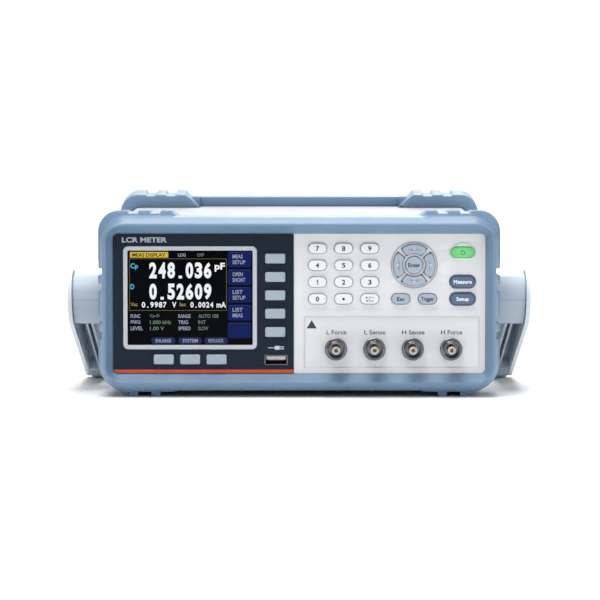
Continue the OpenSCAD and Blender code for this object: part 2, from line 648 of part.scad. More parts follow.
// ---- boards and power ----
module main_board() color([0.1, 0.4, 0.25]) difference() {
    block([main_x0, main_y0, board_z], [main_x1, main_y1, board_z + board_t]);
    for (h = main_holes) translate([h[0], h[1], board_z - 1]) cylinder(r = screw_hole_r, h = board_t + 2);
}
main_top = board_z + board_t;
main_len = main_y1 - main_y0;
module on_board(x, y, w, d, h) block([x - w / 2, y - d / 2, main_top], [x + w / 2, y + d / 2, main_top + h]);
module main_board_parts() {
    // screened measuring front end behind the jacks
    color([0.75, 0.76, 0.78]) on_board(main_x1 - 50, main_y0 + 42, 66, 52, 16);
    // range relays
    color([0.9, 0.9, 0.88]) for (i = [0:4]) on_board(main_x0 + 20 + i * 14, main_y0 + 84, 10, 20, 10);
    // processor, memory and converters
    color([0.12, 0.12, 0.13]) {
        on_board(main_x0 + 30, main_y0 + 0.56 * main_len, 24, 24, 2.2);
        on_board(main_x0 + 56, main_y0 + 0.56 * main_len, 12, 20, 2.2);
        for (i = [0:3]) on_board(main_x0 + 18 + i * 16, main_y0 + 0.7 * main_len, 8, 12, 2);
    }
    // header for the flat cable to the front
    color([0.2, 0.2, 0.22]) on_board(main_x0 + 30, main_y0 + 8, 28, 6, 9);
    color([0.2, 0.25, 0.5]) for (i = [0:2]) translate([main_x0 + 80, main_y0 + 0.56 * main_len + i * 13, main_top])
        cylinder(r = 5, h = 14);
}
module power_supply() {
    top = board_z + board_t;
    color([0.75, 0.6, 0.3]) difference() {
        block([supply_x0, supply_y0, board_z], [supply_x1, supply_y1, top]);
        for (h = supply_holes) translate([h[0], h[1], board_z - 1]) cylinder(r = screw_hole_r, h = board_t + 2);
    }
    // transformer, reservoir capacitor, heat sink, choke and fuse
    color([0.8, 0.75, 0.3]) block([supply_x0 + 18, supply_y0 + 42, top], [supply_x0 + 50, supply_y0 + 68, top + 24]);
    color([0.15, 0.15, 0.2]) translate([supply_x0 + 34, supply_y0 + 79, top]) cylinder(r = 9, h = 26);
    color([0.7, 0.71, 0.73]) for (i = [0:5])
        block([supply_x0 + 8 + i * 8, supply_y0 + 14, top], [supply_x0 + 10.5 + i * 8, supply_y0 + 36, top + 28]);
    color([0.6, 0.3, 0.1]) translate([supply_x0 + 58, supply_y0 + 86, top]) cylinder(r = 6, h = 14);
    color([0.85, 0.87, 0.85]) translate([supply_x0 + 12, supply_y0 + 78, top + 3]) rotate([-90, 0, 0]) cylinder(r = 2.6, h = 20);
    color([0.8, 0.8, 0.8]) for (y = [79, 93]) block([supply_x0 + 9, supply_y0 + y, top], [supply_x0 + 15, supply_y0 + y + 4, top + 0.39]);
}

// ---- rear fittings ----
rocker_pivot_y = rear_y + rear_t - 3;
rocker_tilt = 9;
rocker_half = rocker_w / 2 - 2.3;
rocker_pin_r = 1.05;
inlet_depth = 24;
cavity_w = 24;
cavity_h = 16;
cavity_d = 16;
blade_w = 2;
blade_h = 4;
module mains_inlet() {
    color([0.08, 0.08, 0.09]) difference() {
        union() {
            along_y(rear_y + rear_t, rear_y + rear_t + 2.5) rrect(inlet_w, inlet_h, 3, inlet_x, inlet_z);
            along_y(rear_y + rear_t - inlet_depth, rear_y + rear_t) rrect(inlet_w - 3.4, inlet_h - 1.4, 2, inlet_x, inlet_z);
            along_y(rear_y + rear_t, rear_y + rear_t + 2) rrect(rocker_w + 3, rocker_h + 3, 1.5, rocker_x, rocker_z);
            along_y(rear_y + rear_t - 15, rear_y + rear_t) rrect(rocker_w, rocker_h, 1, rocker_x, rocker_z);
        }
        along_y(rear_y + rear_t + 2.5 - cavity_d, rear_y + rear_t + 4) rrect(cavity_w, cavity_h, 2.5, inlet_x, inlet_z);
        along_y(rear_y + rear_t - 11, rear_y + rear_t + 4) rrect(rocker_w - 2.4, rocker_h - 2.4, 0.6, rocker_x, rocker_z);
    }
    color([0.08, 0.08, 0.09]) translate([rocker_x, rocker_pivot_y, rocker_z - rocker_h / 2 + 0.5])
        cylinder(r = rocker_pin_r, h = rocker_h - 1);
    color([0.8, 0.8, 0.78]) for (p = [[-7, -1.4], [7, -1.4], [0, 2.6]])
        block([inlet_x + p[0] - blade_w / 2, rear_y + rear_t - inlet_depth - 6, inlet_z + p[1] - blade_h / 2],
              [inlet_x + p[0] + blade_w / 2, rear_y + rear_t - 0.5, inlet_z + p[1] + blade_h / 2]);
}
module mains_rocker() color([0.75, 0.12, 0.1]) translate([rocker_x, rocker_pivot_y, rocker_z]) rotate([0, 0, rocker_tilt])
    difference() {
        translate([0, 0, -(rocker_h - 3) / 2]) linear_extrude(rocker_h - 3) {
            circle(r = 4);
            // two flats that meet in a shallow valley over the pivot
            polygon([[-rocker_half, -1.2], [rocker_half, -1.2], [rocker_half, 5.4], [0, 4], [-rocker_half, 5.4]]);
        }
        translate([0, 0, -rocker_h]) cylinder(r = rocker_pin_r + 0.05, h = 2 * rocker_h);
    }
module dsub(x, w) {
    color([0.78, 0.78, 0.8]) {
        difference() {
            along_y(rear_y + rear_t, rear_y + rear_t + 1) rrect(w + 14, 12.4, 1.5, x, port_z);
            along_y(rear_y + rear_t - 1, rear_y + rear_t + 2) rrect(w - 0.8, 8.2, 2.5, x, port_z);
        }
        difference() {
            along_y(rear_y + rear_t + 1, rear_y + rear_t + 6) rrect(w, 9, 3, x, port_z);
            along_y(rear_y + rear_t - 1, rear_y + rear_t + 7) rrect(w - 0.8, 8.2, 2.6, x, port_z);
        }
        for (s = [1, -1]) translate([x + s * (w / 2 + 4), rear_y + rear_t + 1, port_z]) rotate([-90, 0, 0]) difference() {
            cylinder(r = 2.6, h = 4.5, $fn = 6);
            translate([0, 0, 1]) cylinder(r = 1.2, h = 5);
        }
    }
    color([0.12, 0.12, 0.13]) along_y(rear_y - 8, rear_y + rear_t + 5.6) rrect(w - 1, 8, 2.4, x, port_z);
}
module rear_ports() {
    dsub(rs_x, 18);
    dsub(handler_x, 41);
    color([0.78, 0.78, 0.8]) difference() {
        along_y(rear_y - 12, rear_y + rear_t + 0.8) rrect(12.2, 11.2, 1, usb_b_x, port_z);
        along_y(rear_y - 10, rear_y + rear_t + 2) rrect(8.6, 7.9, 1, usb_b_x, port_z);
    }
    color([0.1, 0.1, 0.1]) block([usb_b_x - 2.8, rear_y - 10, port_z - 1.6], [usb_b_x + 2.8, rear_y + rear_t - 1, port_z + 1.6]);
}

// ---- handle: drawn at the right and mirrored; lean() tips an arm in about its pivot ----
module lean() translate([boss_x1, pivot_y, pivot_z]) rotate([-stow, 0, 0]) rotate([0, 0, lean])
    rotate([stow, 0, 0]) translate([-boss_x1, -pivot_y, -pivot_z]) children();
pivot = [pivot_y, pivot_z];
bar_end = pivot + arm_len * unit(-stow);
under = unit(-stow - 90);                     // away from the arm's back wall
arm_x0 = boss_x1 - arm_w;
bar_half = boss_x1 - arm_len * sin(lean) - 1;
module arm_outline(r1, r2) tapered_bar(pivot, r1, bar_end, r2);
// A leaning arm starts this far inside the straight boss, so their round walls never graze
arm_sink = arm_w * sin(lean) + 0.2;
module handle_arm() difference() {
    union() {
        rod_x(boss_r, boss_x0, boss_x1 - 0.01, pivot_y, pivot_z);
        lean() difference() {
            along_x(arm_x0, boss_x1 - 0.01) arm_outline(boss_r - arm_sink, bar_t / 2);
            // hollow under side with one rib
            for (x = [[arm_x0 + 1.4, arm_x0 + 3.4], [arm_x0 + 3.4 + arm_rib, boss_x1 - 0.6]])
                along_x(x[0], x[1]) difference() {
                    translate(arm_top_wall * under) arm_outline(boss_r + 2, bar_t / 2);
                    translate(pivot) circle(r = boss_r - 2 * arm_sink);
                    translate(bar_end) circle(r = bar_d / 2 + 2);
                }
        }
    }
    // trim what would stand past the leaning cover
    lean() translate([boss_x1 - 0.01, pivot_y - 40, pivot_z - 40]) cube([20, 80, 80]);
    // cup over the hub, the bolt's hole and the seat of its head
    rod_x(hub_r + fit_gap, boss_x0 - 1, boss_x0 + cup_depth, pivot_y, pivot_z);
    rod_x(bolt_r + run_gap, boss_x0, boss_x1 + 2, pivot_y, pivot_z);
    rod_x(bolt_head_r + fit_gap, boss_x1 - 5, boss_x1 + 2, pivot_y, pivot_z);
}
module handle_frame() color([0.66, 0.72, 0.78]) {
    both_sides() handle_arm();
    along_x(-bar_half, bar_half) rrect(bar_d, bar_t, 3.2, bar_y, bar_z);
}
module handle_covers() color([0.83, 0.86, 0.89]) both_sides() lean()
    along_x(boss_x1 + cover_gap, boss_x1 + cover_gap + cover_t) arm_outline(cover_r, bar_t / 2);
module handle_hubs() color([0.3, 0.32, 0.35]) both_sides() difference() {
    rod_x(hub_r, sleeve_w / 2, sleeve_w / 2 + hub_len, pivot_y, pivot_z);
    rod_x(bolt_r + 0.05, sleeve_w / 2 - 1, sleeve_w / 2 + hub_len + 1, pivot_y, pivot_z);
}

// ---- screws ----
module pan_screw(head_r, head_t, r, len) {
    difference() {
        cylinder(r = head_r, h = head_t);
        for (a = [0, 90]) rotate(a) translate([-head_r * 0.55, -0.35, head_t - 1]) cube([head_r * 1.1, 0.7, 2]);
    }
    translate([0, 0, -len]) cylinder(r = r, h = len);
}
module screws() color([0.55, 0.56, 0.58]) {
    for (p = rear_screws) translate([p[0], rear_y + rear_t, p[1]]) rotate([-90, 0, 0]) pan_screw(2.9, 1.8, screw_r, 8);
    for (h = board_holes) translate([h[0], h[1], board_z + board_t]) pan_screw(2.9, 1.8, stud_hole_r - 0.05, 6);
    // key board to its posts
    for (p = post_places) translate([p[0], front_board_y + board_t, p[1]]) rotate([-90, 0, 0])
        pan_screw(2.2, 1.4, post_bore_r - 0.05, 7);
    // shoulder bolts of the handle and the nuts inside the case
    both_sides() {
        rod_x(bolt_r, sleeve_w / 2 - 6, boss_x1 - 5, pivot_y, pivot_z);
        rod_x(bolt_head_r, boss_x1 - 5, boss_x1 - 5 + bolt_head_t, pivot_y, pivot_z);
        translate([sleeve_w / 2 - sheet_t - 3.5, pivot_y, pivot_z]) rotate([0, 90, 0]) difference() {
            cylinder(d = 2 * bolt_r + 5, h = 3.5, $fn = 6);
            translate([0, 0, -1]) cylinder(r = bolt_r + 0.05, h = 6);
        }
    }
}

// ---- assembly ----
for (k = KEYS) key(k);
front_bumper();
rear_bumper();
top_cover();
bottom_pan();
rear_panel();
front_bezel();
display_panel();
accent_strip();
lcd_frame();
lcd_window();
lcd_module();
jack_plate();
jack_bodies();
jack_insulators();
jack_contacts();
jack_nuts();
usb_host_port();
power_light_ring();
front_board();
key_switches();
main_board();
main_board_parts();
power_supply();
mains_inlet();
mains_rocker();
rear_ports();
handle_hubs();
handle_frame();
handle_covers();
screws();
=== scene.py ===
from math import cos, hypot, pi, radians, sin, sqrt

import bmesh
import bpy
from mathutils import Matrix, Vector


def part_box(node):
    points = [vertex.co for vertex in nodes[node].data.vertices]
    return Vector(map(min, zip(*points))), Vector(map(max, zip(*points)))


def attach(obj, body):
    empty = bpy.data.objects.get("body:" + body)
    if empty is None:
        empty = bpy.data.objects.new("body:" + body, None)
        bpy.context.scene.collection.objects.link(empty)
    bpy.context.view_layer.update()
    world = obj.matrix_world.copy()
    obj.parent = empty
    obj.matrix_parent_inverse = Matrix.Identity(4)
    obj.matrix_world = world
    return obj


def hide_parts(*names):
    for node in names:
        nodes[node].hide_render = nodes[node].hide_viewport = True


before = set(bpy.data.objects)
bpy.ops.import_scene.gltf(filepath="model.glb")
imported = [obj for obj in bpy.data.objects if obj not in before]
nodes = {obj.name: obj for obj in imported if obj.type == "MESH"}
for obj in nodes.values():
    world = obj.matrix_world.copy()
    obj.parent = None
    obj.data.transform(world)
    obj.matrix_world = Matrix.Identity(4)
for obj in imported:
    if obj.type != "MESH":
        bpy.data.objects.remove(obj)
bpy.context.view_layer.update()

# Lengths are in millimetres until a mesh is made; X right, Y back, Z up
mm = 0.001
scene = bpy.context.scene


def boxOf(node):
    low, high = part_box(node)
    return low / mm, high / mm


bumperLow, bumperHigh = boxOf("front_bumper")
rearHigh = boxOf("rear_bumper")[1]
midZ = (bumperLow.z + bumperHigh.z) / 2
frontY = bumperLow.y
panelY = boxOf("front_bezel")[0].y
displayY = boxOf("display_panel")[0].y


# Colours and shader groups
def srgb(r, g, b, a=1.0):
    def one(c):
        c /= 255
        return c / 12.92 if c < 0.04045 else ((c + 0.055) / 1.055) ** 2.4
    return (one(r), one(g), one(b), a)


def shaderGroup(name, inputs, outputs):
    group = bpy.data.node_groups.new(name, "ShaderNodeTree")
    for label, kind, value in inputs:
        socket = group.interface.new_socket(label, in_out="INPUT", socket_type=kind)
        if value is not None:
            socket.default_value = value
    for label, kind in outputs:
        group.interface.new_socket(label, in_out="OUTPUT", socket_type=kind)
    return group, group.nodes.new("NodeGroupInput"), group.nodes.new("NodeGroupOutput")


def add(tree, kind, links=None, **values):
    node = tree.nodes.new(kind)
    for key, value in values.items():
        setattr(node, key, value)
    for key, source in (links or {}).items():
        socket = node.inputs[key]
        if hasattr(source, "is_output"):
            tree.links.new(source, socket)
        else:
            socket.default_value = source
    return node


floatKind, vectorKind = "NodeSocketFloat", "NodeSocketVector"


def maths(tree, operation, *values):
    return add(tree, "ShaderNodeMath", dict(enumerate(values)), operation=operation).outputs[0]


def remap(tree, value, low=0.0, high=1.0, toLow=0.0, toHigh=1.0):
    return add(tree, "ShaderNodeMapRange", {"Value": value, "From Min": low, "From Max": high, "To Min": toLow,
                                            "To Max": toHigh}).outputs["Result"]


def noise(tree, vector, scale, detail=2.0, roughness=0.5):
    return add(tree, "ShaderNodeTexNoise", {"Vector": vector, "Scale": scale, "Detail": detail,
                                            "Roughness": roughness}).outputs["Fac"]


# Fine moulded grain: a height for bump, and a slow change of tone
def makeGrainGroup():
    group, given, out = shaderGroup(
        "mouldGrain",
        [("Vector", vectorKind, None), ("Grain Size", floatKind, 1500.0), ("Tone Size", floatKind, 18.0)],
        [("Height", floatKind), ("Tone", floatKind)])
    vector, size = given.outputs["Vector"], given.outputs["Grain Size"]
    pits = add(group, "ShaderNodeTexVoronoi", {"Vector": vector, "Scale": size})
    height = maths(group, "ADD", noise(group, vector, size, 3.0, 0.6), pits.outputs["Distance"])
    slow = noise(group, vector, given.outputs["Tone Size"], 4.0, 0.55)
    group.links.new(height, out.inputs["Height"])
    group.links.new(remap(group, slow, 0.3, 0.7), out.inputs["Tone"])
    return group


# Rubbed edges: where the surface turns sharply outwards, broken up by noise
def makeWearGroup():
    group, given, out = shaderGroup(
        "edgeWear",
        [("Vector", vectorKind, None), ("Start", floatKind, 0.53), ("Full", floatKind, 0.62)],
        [("Mask", floatKind)])
    geometry = add(group, "ShaderNodeNewGeometry")
    edge = remap(group, geometry.outputs["Pointiness"], given.outputs["Start"], given.outputs["Full"])
    patches = remap(group, noise(group, given.outputs["Vector"], 90.0, 5.0), 0.4, 0.65)
    group.links.new(maths(group, "MULTIPLY", edge, patches), out.inputs["Mask"])
    return group


# A film of dust on what faces up
def makeDustGroup():
    group, given, out = shaderGroup("fineDust", [("Vector", vectorKind, None), ("Amount", floatKind, 0.2)],
                                    [("Mask", floatKind)])
    geometry = add(group, "ShaderNodeNewGeometry")
    parts = add(group, "ShaderNodeSeparateXYZ", {0: geometry.outputs["Normal"]})
    up = remap(group, parts.outputs["Z"], 0.6, 1.0)
    patches = remap(group, noise(group, given.outputs["Vector"], 35.0, 6.0, 0.65), 0.35, 0.75)
    mask = maths(group, "MULTIPLY", maths(group, "MULTIPLY", up, patches), given.outputs["Amount"])
    group.links.new(mask, out.inputs["Mask"])
    return group


# Long fine scratches along one way, for plated and rolled metal
def makeBrushGroup():
    group, given, out = shaderGroup(
        "rolledLines",
        [("Vector", vectorKind, None), ("Stretch", vectorKind, (1.0, 40.0, 40.0)), ("Size", floatKind, 60.0)],
        [("Height", floatKind)])
    scaled = add(group, "ShaderNodeVectorMath", {0: given.outputs["Vector"], 1: given.outputs["Stretch"]},
                 operation="MULTIPLY")
    group.links.new(noise(group, scaled.outputs[0], given.outputs["Size"], 4.0), out.inputs["Height"])
    return group


grainGroup, wearGroup = makeGrainGroup(), makeWearGroup()
dustGroup, brushGroup = makeDustGroup(), makeBrushGroup()


def placeGroup(tree, group, vector, **values):
    node = tree.nodes.new("ShaderNodeGroup")
    node.node_tree = group
    tree.links.new(vector, node.inputs["Vector"])
    for key, value in values.items():
        node.inputs[key.replace("_", " ")].default_value = value
    return node


def mixColour(tree, factor, a, b, blend="MIX"):
    node = tree.nodes.new("ShaderNodeMix")
    node.data_type, node.blend_type = "RGBA", blend
    for index, value in ((0, factor), (6, a), (7, b)):
        if hasattr(value, "is_output"):
            tree.links.new(value, node.inputs[index])
        else:
            node.inputs[index].default_value = value
    return node.outputs[2]


def tinted(colour, gain):
    return tuple(min(1.0, c * gain) for c in colour[:3]) + (1.0,)


def newMaterial(name):
    made = bpy.data.materials.new(name)
    made.use_nodes = True
    tree = made.node_tree
    shader = tree.nodes["Principled BSDF"]
    coords = tree.nodes.new("ShaderNodeTexCoord").outputs["Object"]
    return made, tree, shader, coords


def setInputs(shader, **values):
    for label, value in values.items():
        shader.inputs[label.replace("_", " ")].default_value = value


def setSurface(tree, shader, base, rough, height, strength, depth):
    bump = add(tree, "ShaderNodeBump", {"Height": height, "Strength": strength, "Distance": depth})
    for label, source in (("Base Color", base), ("Roughness", rough), ("Normal", bump.outputs["Normal"])):
        tree.links.new(source, shader.inputs[label])


def plastic(name, colour, rough=0.45, grain=1500.0, depth=0.00002, tone=0.04, wear=0.0, dust=0.0, coat=0.0,
            subsurface=0.0, specular=0.3):
    made, tree, shader, coords = newMaterial(name)
    grainNode = placeGroup(tree, grainGroup, coords, Grain_Size=grain)
    mottle = grainNode.outputs["Tone"]
    base = mixColour(tree, mottle, tinted(colour, 1 - tone), tinted(colour, 1 + tone))
    if wear:
        wearNode = placeGroup(tree, wearGroup, coords)
        rubbed = maths(tree, "MULTIPLY", wearNode.outputs["Mask"], wear)
        base = mixColour(tree, rubbed, base, tinted(colour, 1.35))
    if dust:
        dustNode = placeGroup(tree, dustGroup, coords, Amount=dust)
        base = mixColour(tree, dustNode.outputs["Mask"], base, srgb(225, 224, 220))
    roughness = remap(tree, mottle, toLow=rough - 0.04, toHigh=rough + 0.05)
    setSurface(tree, shader, base, roughness, grainNode.outputs["Height"], 0.6, depth)
    setInputs(shader, Coat_Weight=coat, Specular_IOR_Level=specular)
    if subsurface:
        setInputs(shader, Subsurface_Weight=subsurface, Subsurface_Radius=(0.002, 0.002, 0.0015))
    return made


def metal(name, colour, rough=0.25, lines=60.0, depth=0.000006, tone=0.06, stretch=(1.0, 40.0, 40.0)):
    made, tree, shader, coords = newMaterial(name)
    brush = placeGroup(tree, brushGroup, coords, Stretch=stretch, Size=lines).outputs["Height"]
    grainNode = placeGroup(tree, grainGroup, coords, Grain_Size=700.0, Tone_Size=55.0)
    base = mixColour(tree, grainNode.outputs["Tone"], tinted(colour, 1 - tone), tinted(colour, 1 + tone))
    roughness = remap(tree, brush, toLow=rough - 0.06, toHigh=rough + 0.08)
    setSurface(tree, shader, base, roughness, brush, 0.5, depth)
    setInputs(shader, Metallic=1.0)
    return made


def lit(name, colour, strength, tone=0.05):
    made, tree, shader, coords = newMaterial(name)
    grainNode = placeGroup(tree, grainGroup, coords, Grain_Size=2600.0, Tone_Size=140.0)
    glow = mixColour(tree, grainNode.outputs["Tone"], tinted(colour, 1 - tone), colour)
    tree.links.new(glow, shader.inputs["Emission Color"])
    setInputs(shader, Emission_Strength=strength, Base_Color=tinted(colour, 0.02), Roughness=0.4,
              Specular_IOR_Level=0.05)
    return made


finishes = {}


def addFinish(maker, name, colour, *values, **more):
    finishes[name] = maker(name, srgb(*colour), *values, **more)


addFinish(plastic, "bumperBlue", (112, 140, 168), 0.36, 1300.0, 0.00003, 0.035, wear=0.35,
          dust=0.12, specular=0.5)
addFinish(plastic, "handleGrey", (178, 191, 204), 0.4, 1300.0, 0.00003, 0.03, wear=0.3, dust=0.1)
addFinish(plastic, "handlePale", (214, 221, 228), 0.4, 1300.0, 0.00002, 0.02, wear=0.2, dust=0.08)
addFinish(plastic, "casePaint", (166, 170, 176), 0.36, 900.0, 0.00004, 0.015, dust=0.15)
addFinish(metal, "panSteel", (186, 189, 193), 0.38)
addFinish(plastic, "rearSheet", (196, 199, 203), 0.4, 900.0, 0.00003, 0.02)
addFinish(plastic, "bezelGrey", (224, 225, 228), 0.42, 1800.0, 0.000015, 0.012, wear=0.2)
addFinish(plastic, "jackPlate", (228, 230, 232), 0.4, 2200.0, 0.00001, 0.01)
addFinish(plastic, "displayNavy", (14, 30, 46), 0.36, 2200.0, 0.00001, 0.06, wear=0.15, specular=0.2)
addFinish(plastic, "accentOrange", (198, 70, 38), 0.32, 2200.0, 0.00001, 0.04, coat=0.2)
addFinish(plastic, "trimSilver", (188, 194, 202), 0.3, 2400.0, 0.000008, 0.02, coat=0.3)
addFinish(plastic, "innerDark", (40, 42, 46), 0.5, 1500.0, 0.00003, 0.1)
addFinish(metal, "nickel", (150, 149, 150), 0.14, 140.0, 0.000004, 0.05, (30.0, 1.0, 30.0))
# The jack shells use a darker copy of the nickel plating: painted shade standing in for the dark reflections of
# their chrome
addFinish(metal, "jackNickel", (108, 108, 112), 0.12, 140.0, 0.000004, 0.05, (30.0, 1.0, 30.0))
addFinish(plastic, "insulatorWhite", (250, 250, 248), 0.35, 1800.0, 0.00001, 0.02, subsurface=0.3)
addFinish(metal, "contactGold", (176, 142, 100), 0.22, 120.0, 0.000003, 0.08)
addFinish(metal, "screwSteel", (176, 178, 182), 0.28, 90.0, 0.000005, 0.08)
addFinish(plastic, "lightGuide", (222, 238, 228), 0.3, 1800.0, 0.00001, 0.02, subsurface=0.4, coat=0.2)
addFinish(plastic, "keyWhite", (232, 234, 238), 0.38, 1900.0, 0.00001, 0.012, coat=0.1)
addFinish(plastic, "keyBlue", (168, 181, 196), 0.38, 1900.0, 0.00001, 0.02, coat=0.1)
addFinish(plastic, "keySlate", (88, 108, 136), 0.36, 1900.0, 0.00001, 0.03, coat=0.15)
addFinish(plastic, "keySoft", (160, 174, 187), 0.36, 1900.0, 0.00001, 0.02, coat=0.15)
addFinish(plastic, "boardGreen", (22, 92, 60), 0.35, 1200.0, 0.00002, 0.15)
addFinish(plastic, "chipBlack", (34, 34, 37), 0.5, 1500.0, 0.00003, 0.12)
addFinish(plastic, "supplyParts", (150, 128, 70), 0.45, 900.0, 0.00005, 0.2)
addFinish(plastic, "inletBlack", (24, 24, 26), 0.42, 1400.0, 0.00003, 0.1, wear=0.2)
addFinish(plastic, "rockerRed", (178, 34, 28), 0.3, 1800.0, 0.00001, 0.05, coat=0.3)
addFinish(plastic, "legendBlack", (28, 30, 36), 0.5, 2600.0, 0.000004, 0.05)
addFinish(plastic, "legendWhite", (240, 244, 248), 0.5, 2600.0, 0.000004, 0.02)
addFinish(plastic, "legendPale", (205, 216, 226), 0.5, 2600.0, 0.000004, 0.02)
addFinish(plastic, "legendGreen", (22, 62, 44), 0.5, 2600.0, 0.000004, 0.05)
addFinish(plastic, "legendSlate", (52, 66, 84), 0.5, 2600.0, 0.000004, 0.05)
addFinish(plastic, "tongueGrey", (196, 199, 203), 0.35, 2200.0, 0.00001, 0.03)
addFinish(plastic, "legendGrey", (176, 186, 198), 0.5, 2600.0, 0.000004, 0.02)
addFinish(plastic, "screenBlack", (6, 7, 12), 0.2, 2600.0, 0.000002, 0.35, specular=0.03)
addFinish(lit, "litWhite", (245, 248, 252), 0.95)
addFinish(lit, "litCyan", (90, 195, 240), 0.9)
addFinish(lit, "litYellow", (228, 198, 78), 0.8)
addFinish(lit, "litGreen", (132, 158, 136), 0.6)
addFinish(lit, "litStraw", (178, 168, 108), 0.65)
addFinish(lit, "litDusk", (44, 52, 104), 0.7)
addFinish(lit, "litNavy", (24, 40, 108), 0.75, 0.3)
addFinish(lit, "litSlate", (70, 84, 150), 0.7, 0.2)
addFinish(lit, "litGrey", (170, 176, 200), 0.8)


# A moulded grip with the fine line where the halves of its mould met
def makeParted(name, base, height):
    made = base.copy()
    made.name = name
    tree = made.node_tree
    shader = tree.nodes["Principled BSDF"]
    coords = tree.nodes.new("ShaderNodeTexCoord").outputs["Object"]
    parts = add(tree, "ShaderNodeSeparateXYZ", {0: coords})
    away = maths(tree, "ABSOLUTE", maths(tree, "SUBTRACT", parts.outputs["Z"], height * mm))
    line = remap(tree, away, 0.0001, 0.00028, 0.45, 0.0)
    source = shader.inputs["Base Color"].links[0].from_socket
    tree.links.new(mixColour(tree, line, source, srgb(92, 108, 124)), shader.inputs["Base Color"])
    return made


# The power key is given a painted glow: emission, and a colour painted lighter at its middle
def makePaintedGlowKey(name, middle):
    made, tree, shader, coords = newMaterial(name)
    grainNode = placeGroup(tree, grainGroup, coords, Grain_Size=1800.0, Tone_Size=70.0)
    away = add(tree, "ShaderNodeVectorMath", {0: coords, 1: tuple(v * mm for v in middle)},
               operation="DISTANCE").outputs["Value"]
    paintedGlow = remap(tree, away, 0.0, 0.0085, 1.0, 0.0)
    colour = mixColour(tree, paintedGlow, srgb(84, 180, 106), srgb(114, 204, 130))
    tree.links.new(colour, shader.inputs["Base Color"])
    tree.links.new(colour, shader.inputs["Emission Color"])
    rough = remap(tree, grainNode.outputs["Tone"], toLow=0.28, toHigh=0.36)
    tree.links.new(rough, shader.inputs["Roughness"])
    setInputs(shader, Emission_Strength=0.22, Subsurface_Weight=0.3, Subsurface_Radius=(0.001, 0.003, 0.0015))
    return made


print("finishes ready:", len(finishes))


# Camera, floor and lights
camera = dict(place=(0.0005, -2.25, 0.2024), aim=(0.0005, -0.15, 0.056), lens=221.4)
lights = {
    "keyLight": dict(place=(-0.7, -0.9, 2.1), aim=(0, 0, 0.05), size=1.0, power=18),
    "fillLight": dict(place=(1.3, -1.6, 0.9), aim=(0, 0, 0.05), size=1.4, power=7),
    "topLight": dict(place=(0.0, -0.25, 1.7), aim=(0, 0, 0), size=0.9, power=17),
    "backLight": dict(place=(0.15, 1.25, 1.15), aim=(0, 0, 0.03), size=0.7, power=11),
    "wallLight": dict(place=(0.0, 0.9, 2.6), aim=(0, 3.6, 0.9), size=1.6, power=60),
}


def aimAt(thing, place, aim):
    thing.location = place
    thing.rotation_euler = (Vector(aim) - Vector(place)).to_track_quat("-Z", "Y").to_euler()


def makeStudio():
    lens = bpy.data.cameras.new("viewCamera")
    lens.lens, lens.sensor_width = camera["lens"], 36
    lens.clip_start, lens.clip_end = 0.05, 50
    eye = bpy.data.objects.new("viewCamera", lens)
    scene.collection.objects.link(eye)
    aimAt(eye, camera["place"], camera["aim"])
    scene.camera = eye
    for name, given in lights.items():
        lamp = bpy.data.lights.new(name, "AREA")
        lamp.shape, lamp.size, lamp.energy = "DISK", given["size"], given["power"]
        holder = bpy.data.objects.new(name, lamp)
        scene.collection.objects.link(holder)
        aimAt(holder, given["place"], given["aim"])
    makeSky()
    scene.view_settings.view_transform = "Standard"
    # A floor that sweeps up behind into a wall, so no horizon shows
    half, bend, curve, rise = 6.0, 2.2, 1.5, 4.0
    turns = [radians(a) for a in range(0, 91, 6)]
    rows = [(-half, 0.0)] + [(bend + curve * sin(t), curve - curve * cos(t)) for t in turns]
    rows.append((bend + curve, rise))
    points = [(side * half, y, z) for y, z in rows for side in (-1, 1)]
    faces = [(2 * i, 2 * i + 1, 2 * i + 3, 2 * i + 2) for i in range(len(rows) - 1)]
    mesh = bpy.data.meshes.new("studioFloor")
    mesh.from_pydata(points, [], faces)
    mesh.shade_smooth()
    floor = bpy.data.objects.new("studioFloor", mesh)
    scene.collection.objects.link(floor)
    made, tree, shader, coords = newMaterial("studioFloor")
    tone = mixColour(tree, noise(tree, coords, 1.5), (0.93, 0.93, 0.93, 1), (0.95, 0.95, 0.95, 1))
    tree.links.new(tone, shader.inputs["Base Color"])
    setInputs(shader, Roughness=0.6, Specular_IOR_Level=0.2)
    mesh.materials.append(made)


# Pale light from above and in front, darker to the left and right, which plated metal mirrors
def makeSky():
    world = bpy.data.worlds.new("studio")
    world.use_nodes = True
    tree = world.node_tree
    way = tree.nodes.new("ShaderNodeTexCoord").outputs["Generated"]
    parts = add(tree, "ShaderNodeSeparateXYZ", {0: way})
    dim = remap(tree, maths(tree, "ABSOLUTE", parts.outputs["X"]), 0.25, 0.9, 1.0, 0.35)
    lift = remap(tree, parts.outputs["Z"], -0.1, 0.7, 0.34, 0.6)
    back = tree.nodes["Background"]
    back.inputs[0].default_value = (1.0, 1.0, 1.0, 1)
    tree.links.new(maths(tree, "MULTIPLY", dim, lift), back.inputs[1])
    scene.world = world


makeStudio()
print("studio ready")


# Making pieces
def meshOf(name, points, faces, weld=True):
    mesh = bpy.data.meshes.new(name)
    mesh.from_pydata([tuple(c * mm for c in p) for p in points], [], faces)
    if weld:
        work = bmesh.new()
        work.from_mesh(mesh)
        bmesh.ops.remove_doubles(work, verts=work.verts, dist=1e-7)
        bmesh.ops.recalc_face_normals(work, faces=work.faces)
        work.to_mesh(mesh)
        work.free()
    return mesh


def newPiece(name, points, faces, finish, body="case", slot=None, replaced=(), sharp=38, recalc=False):
    piece = bpy.data.objects.new(name, meshOf(name, points, faces, recalc))
    scene.collection.objects.link(piece)
    return settle(piece, finish, body, slot, replaced, sharp)


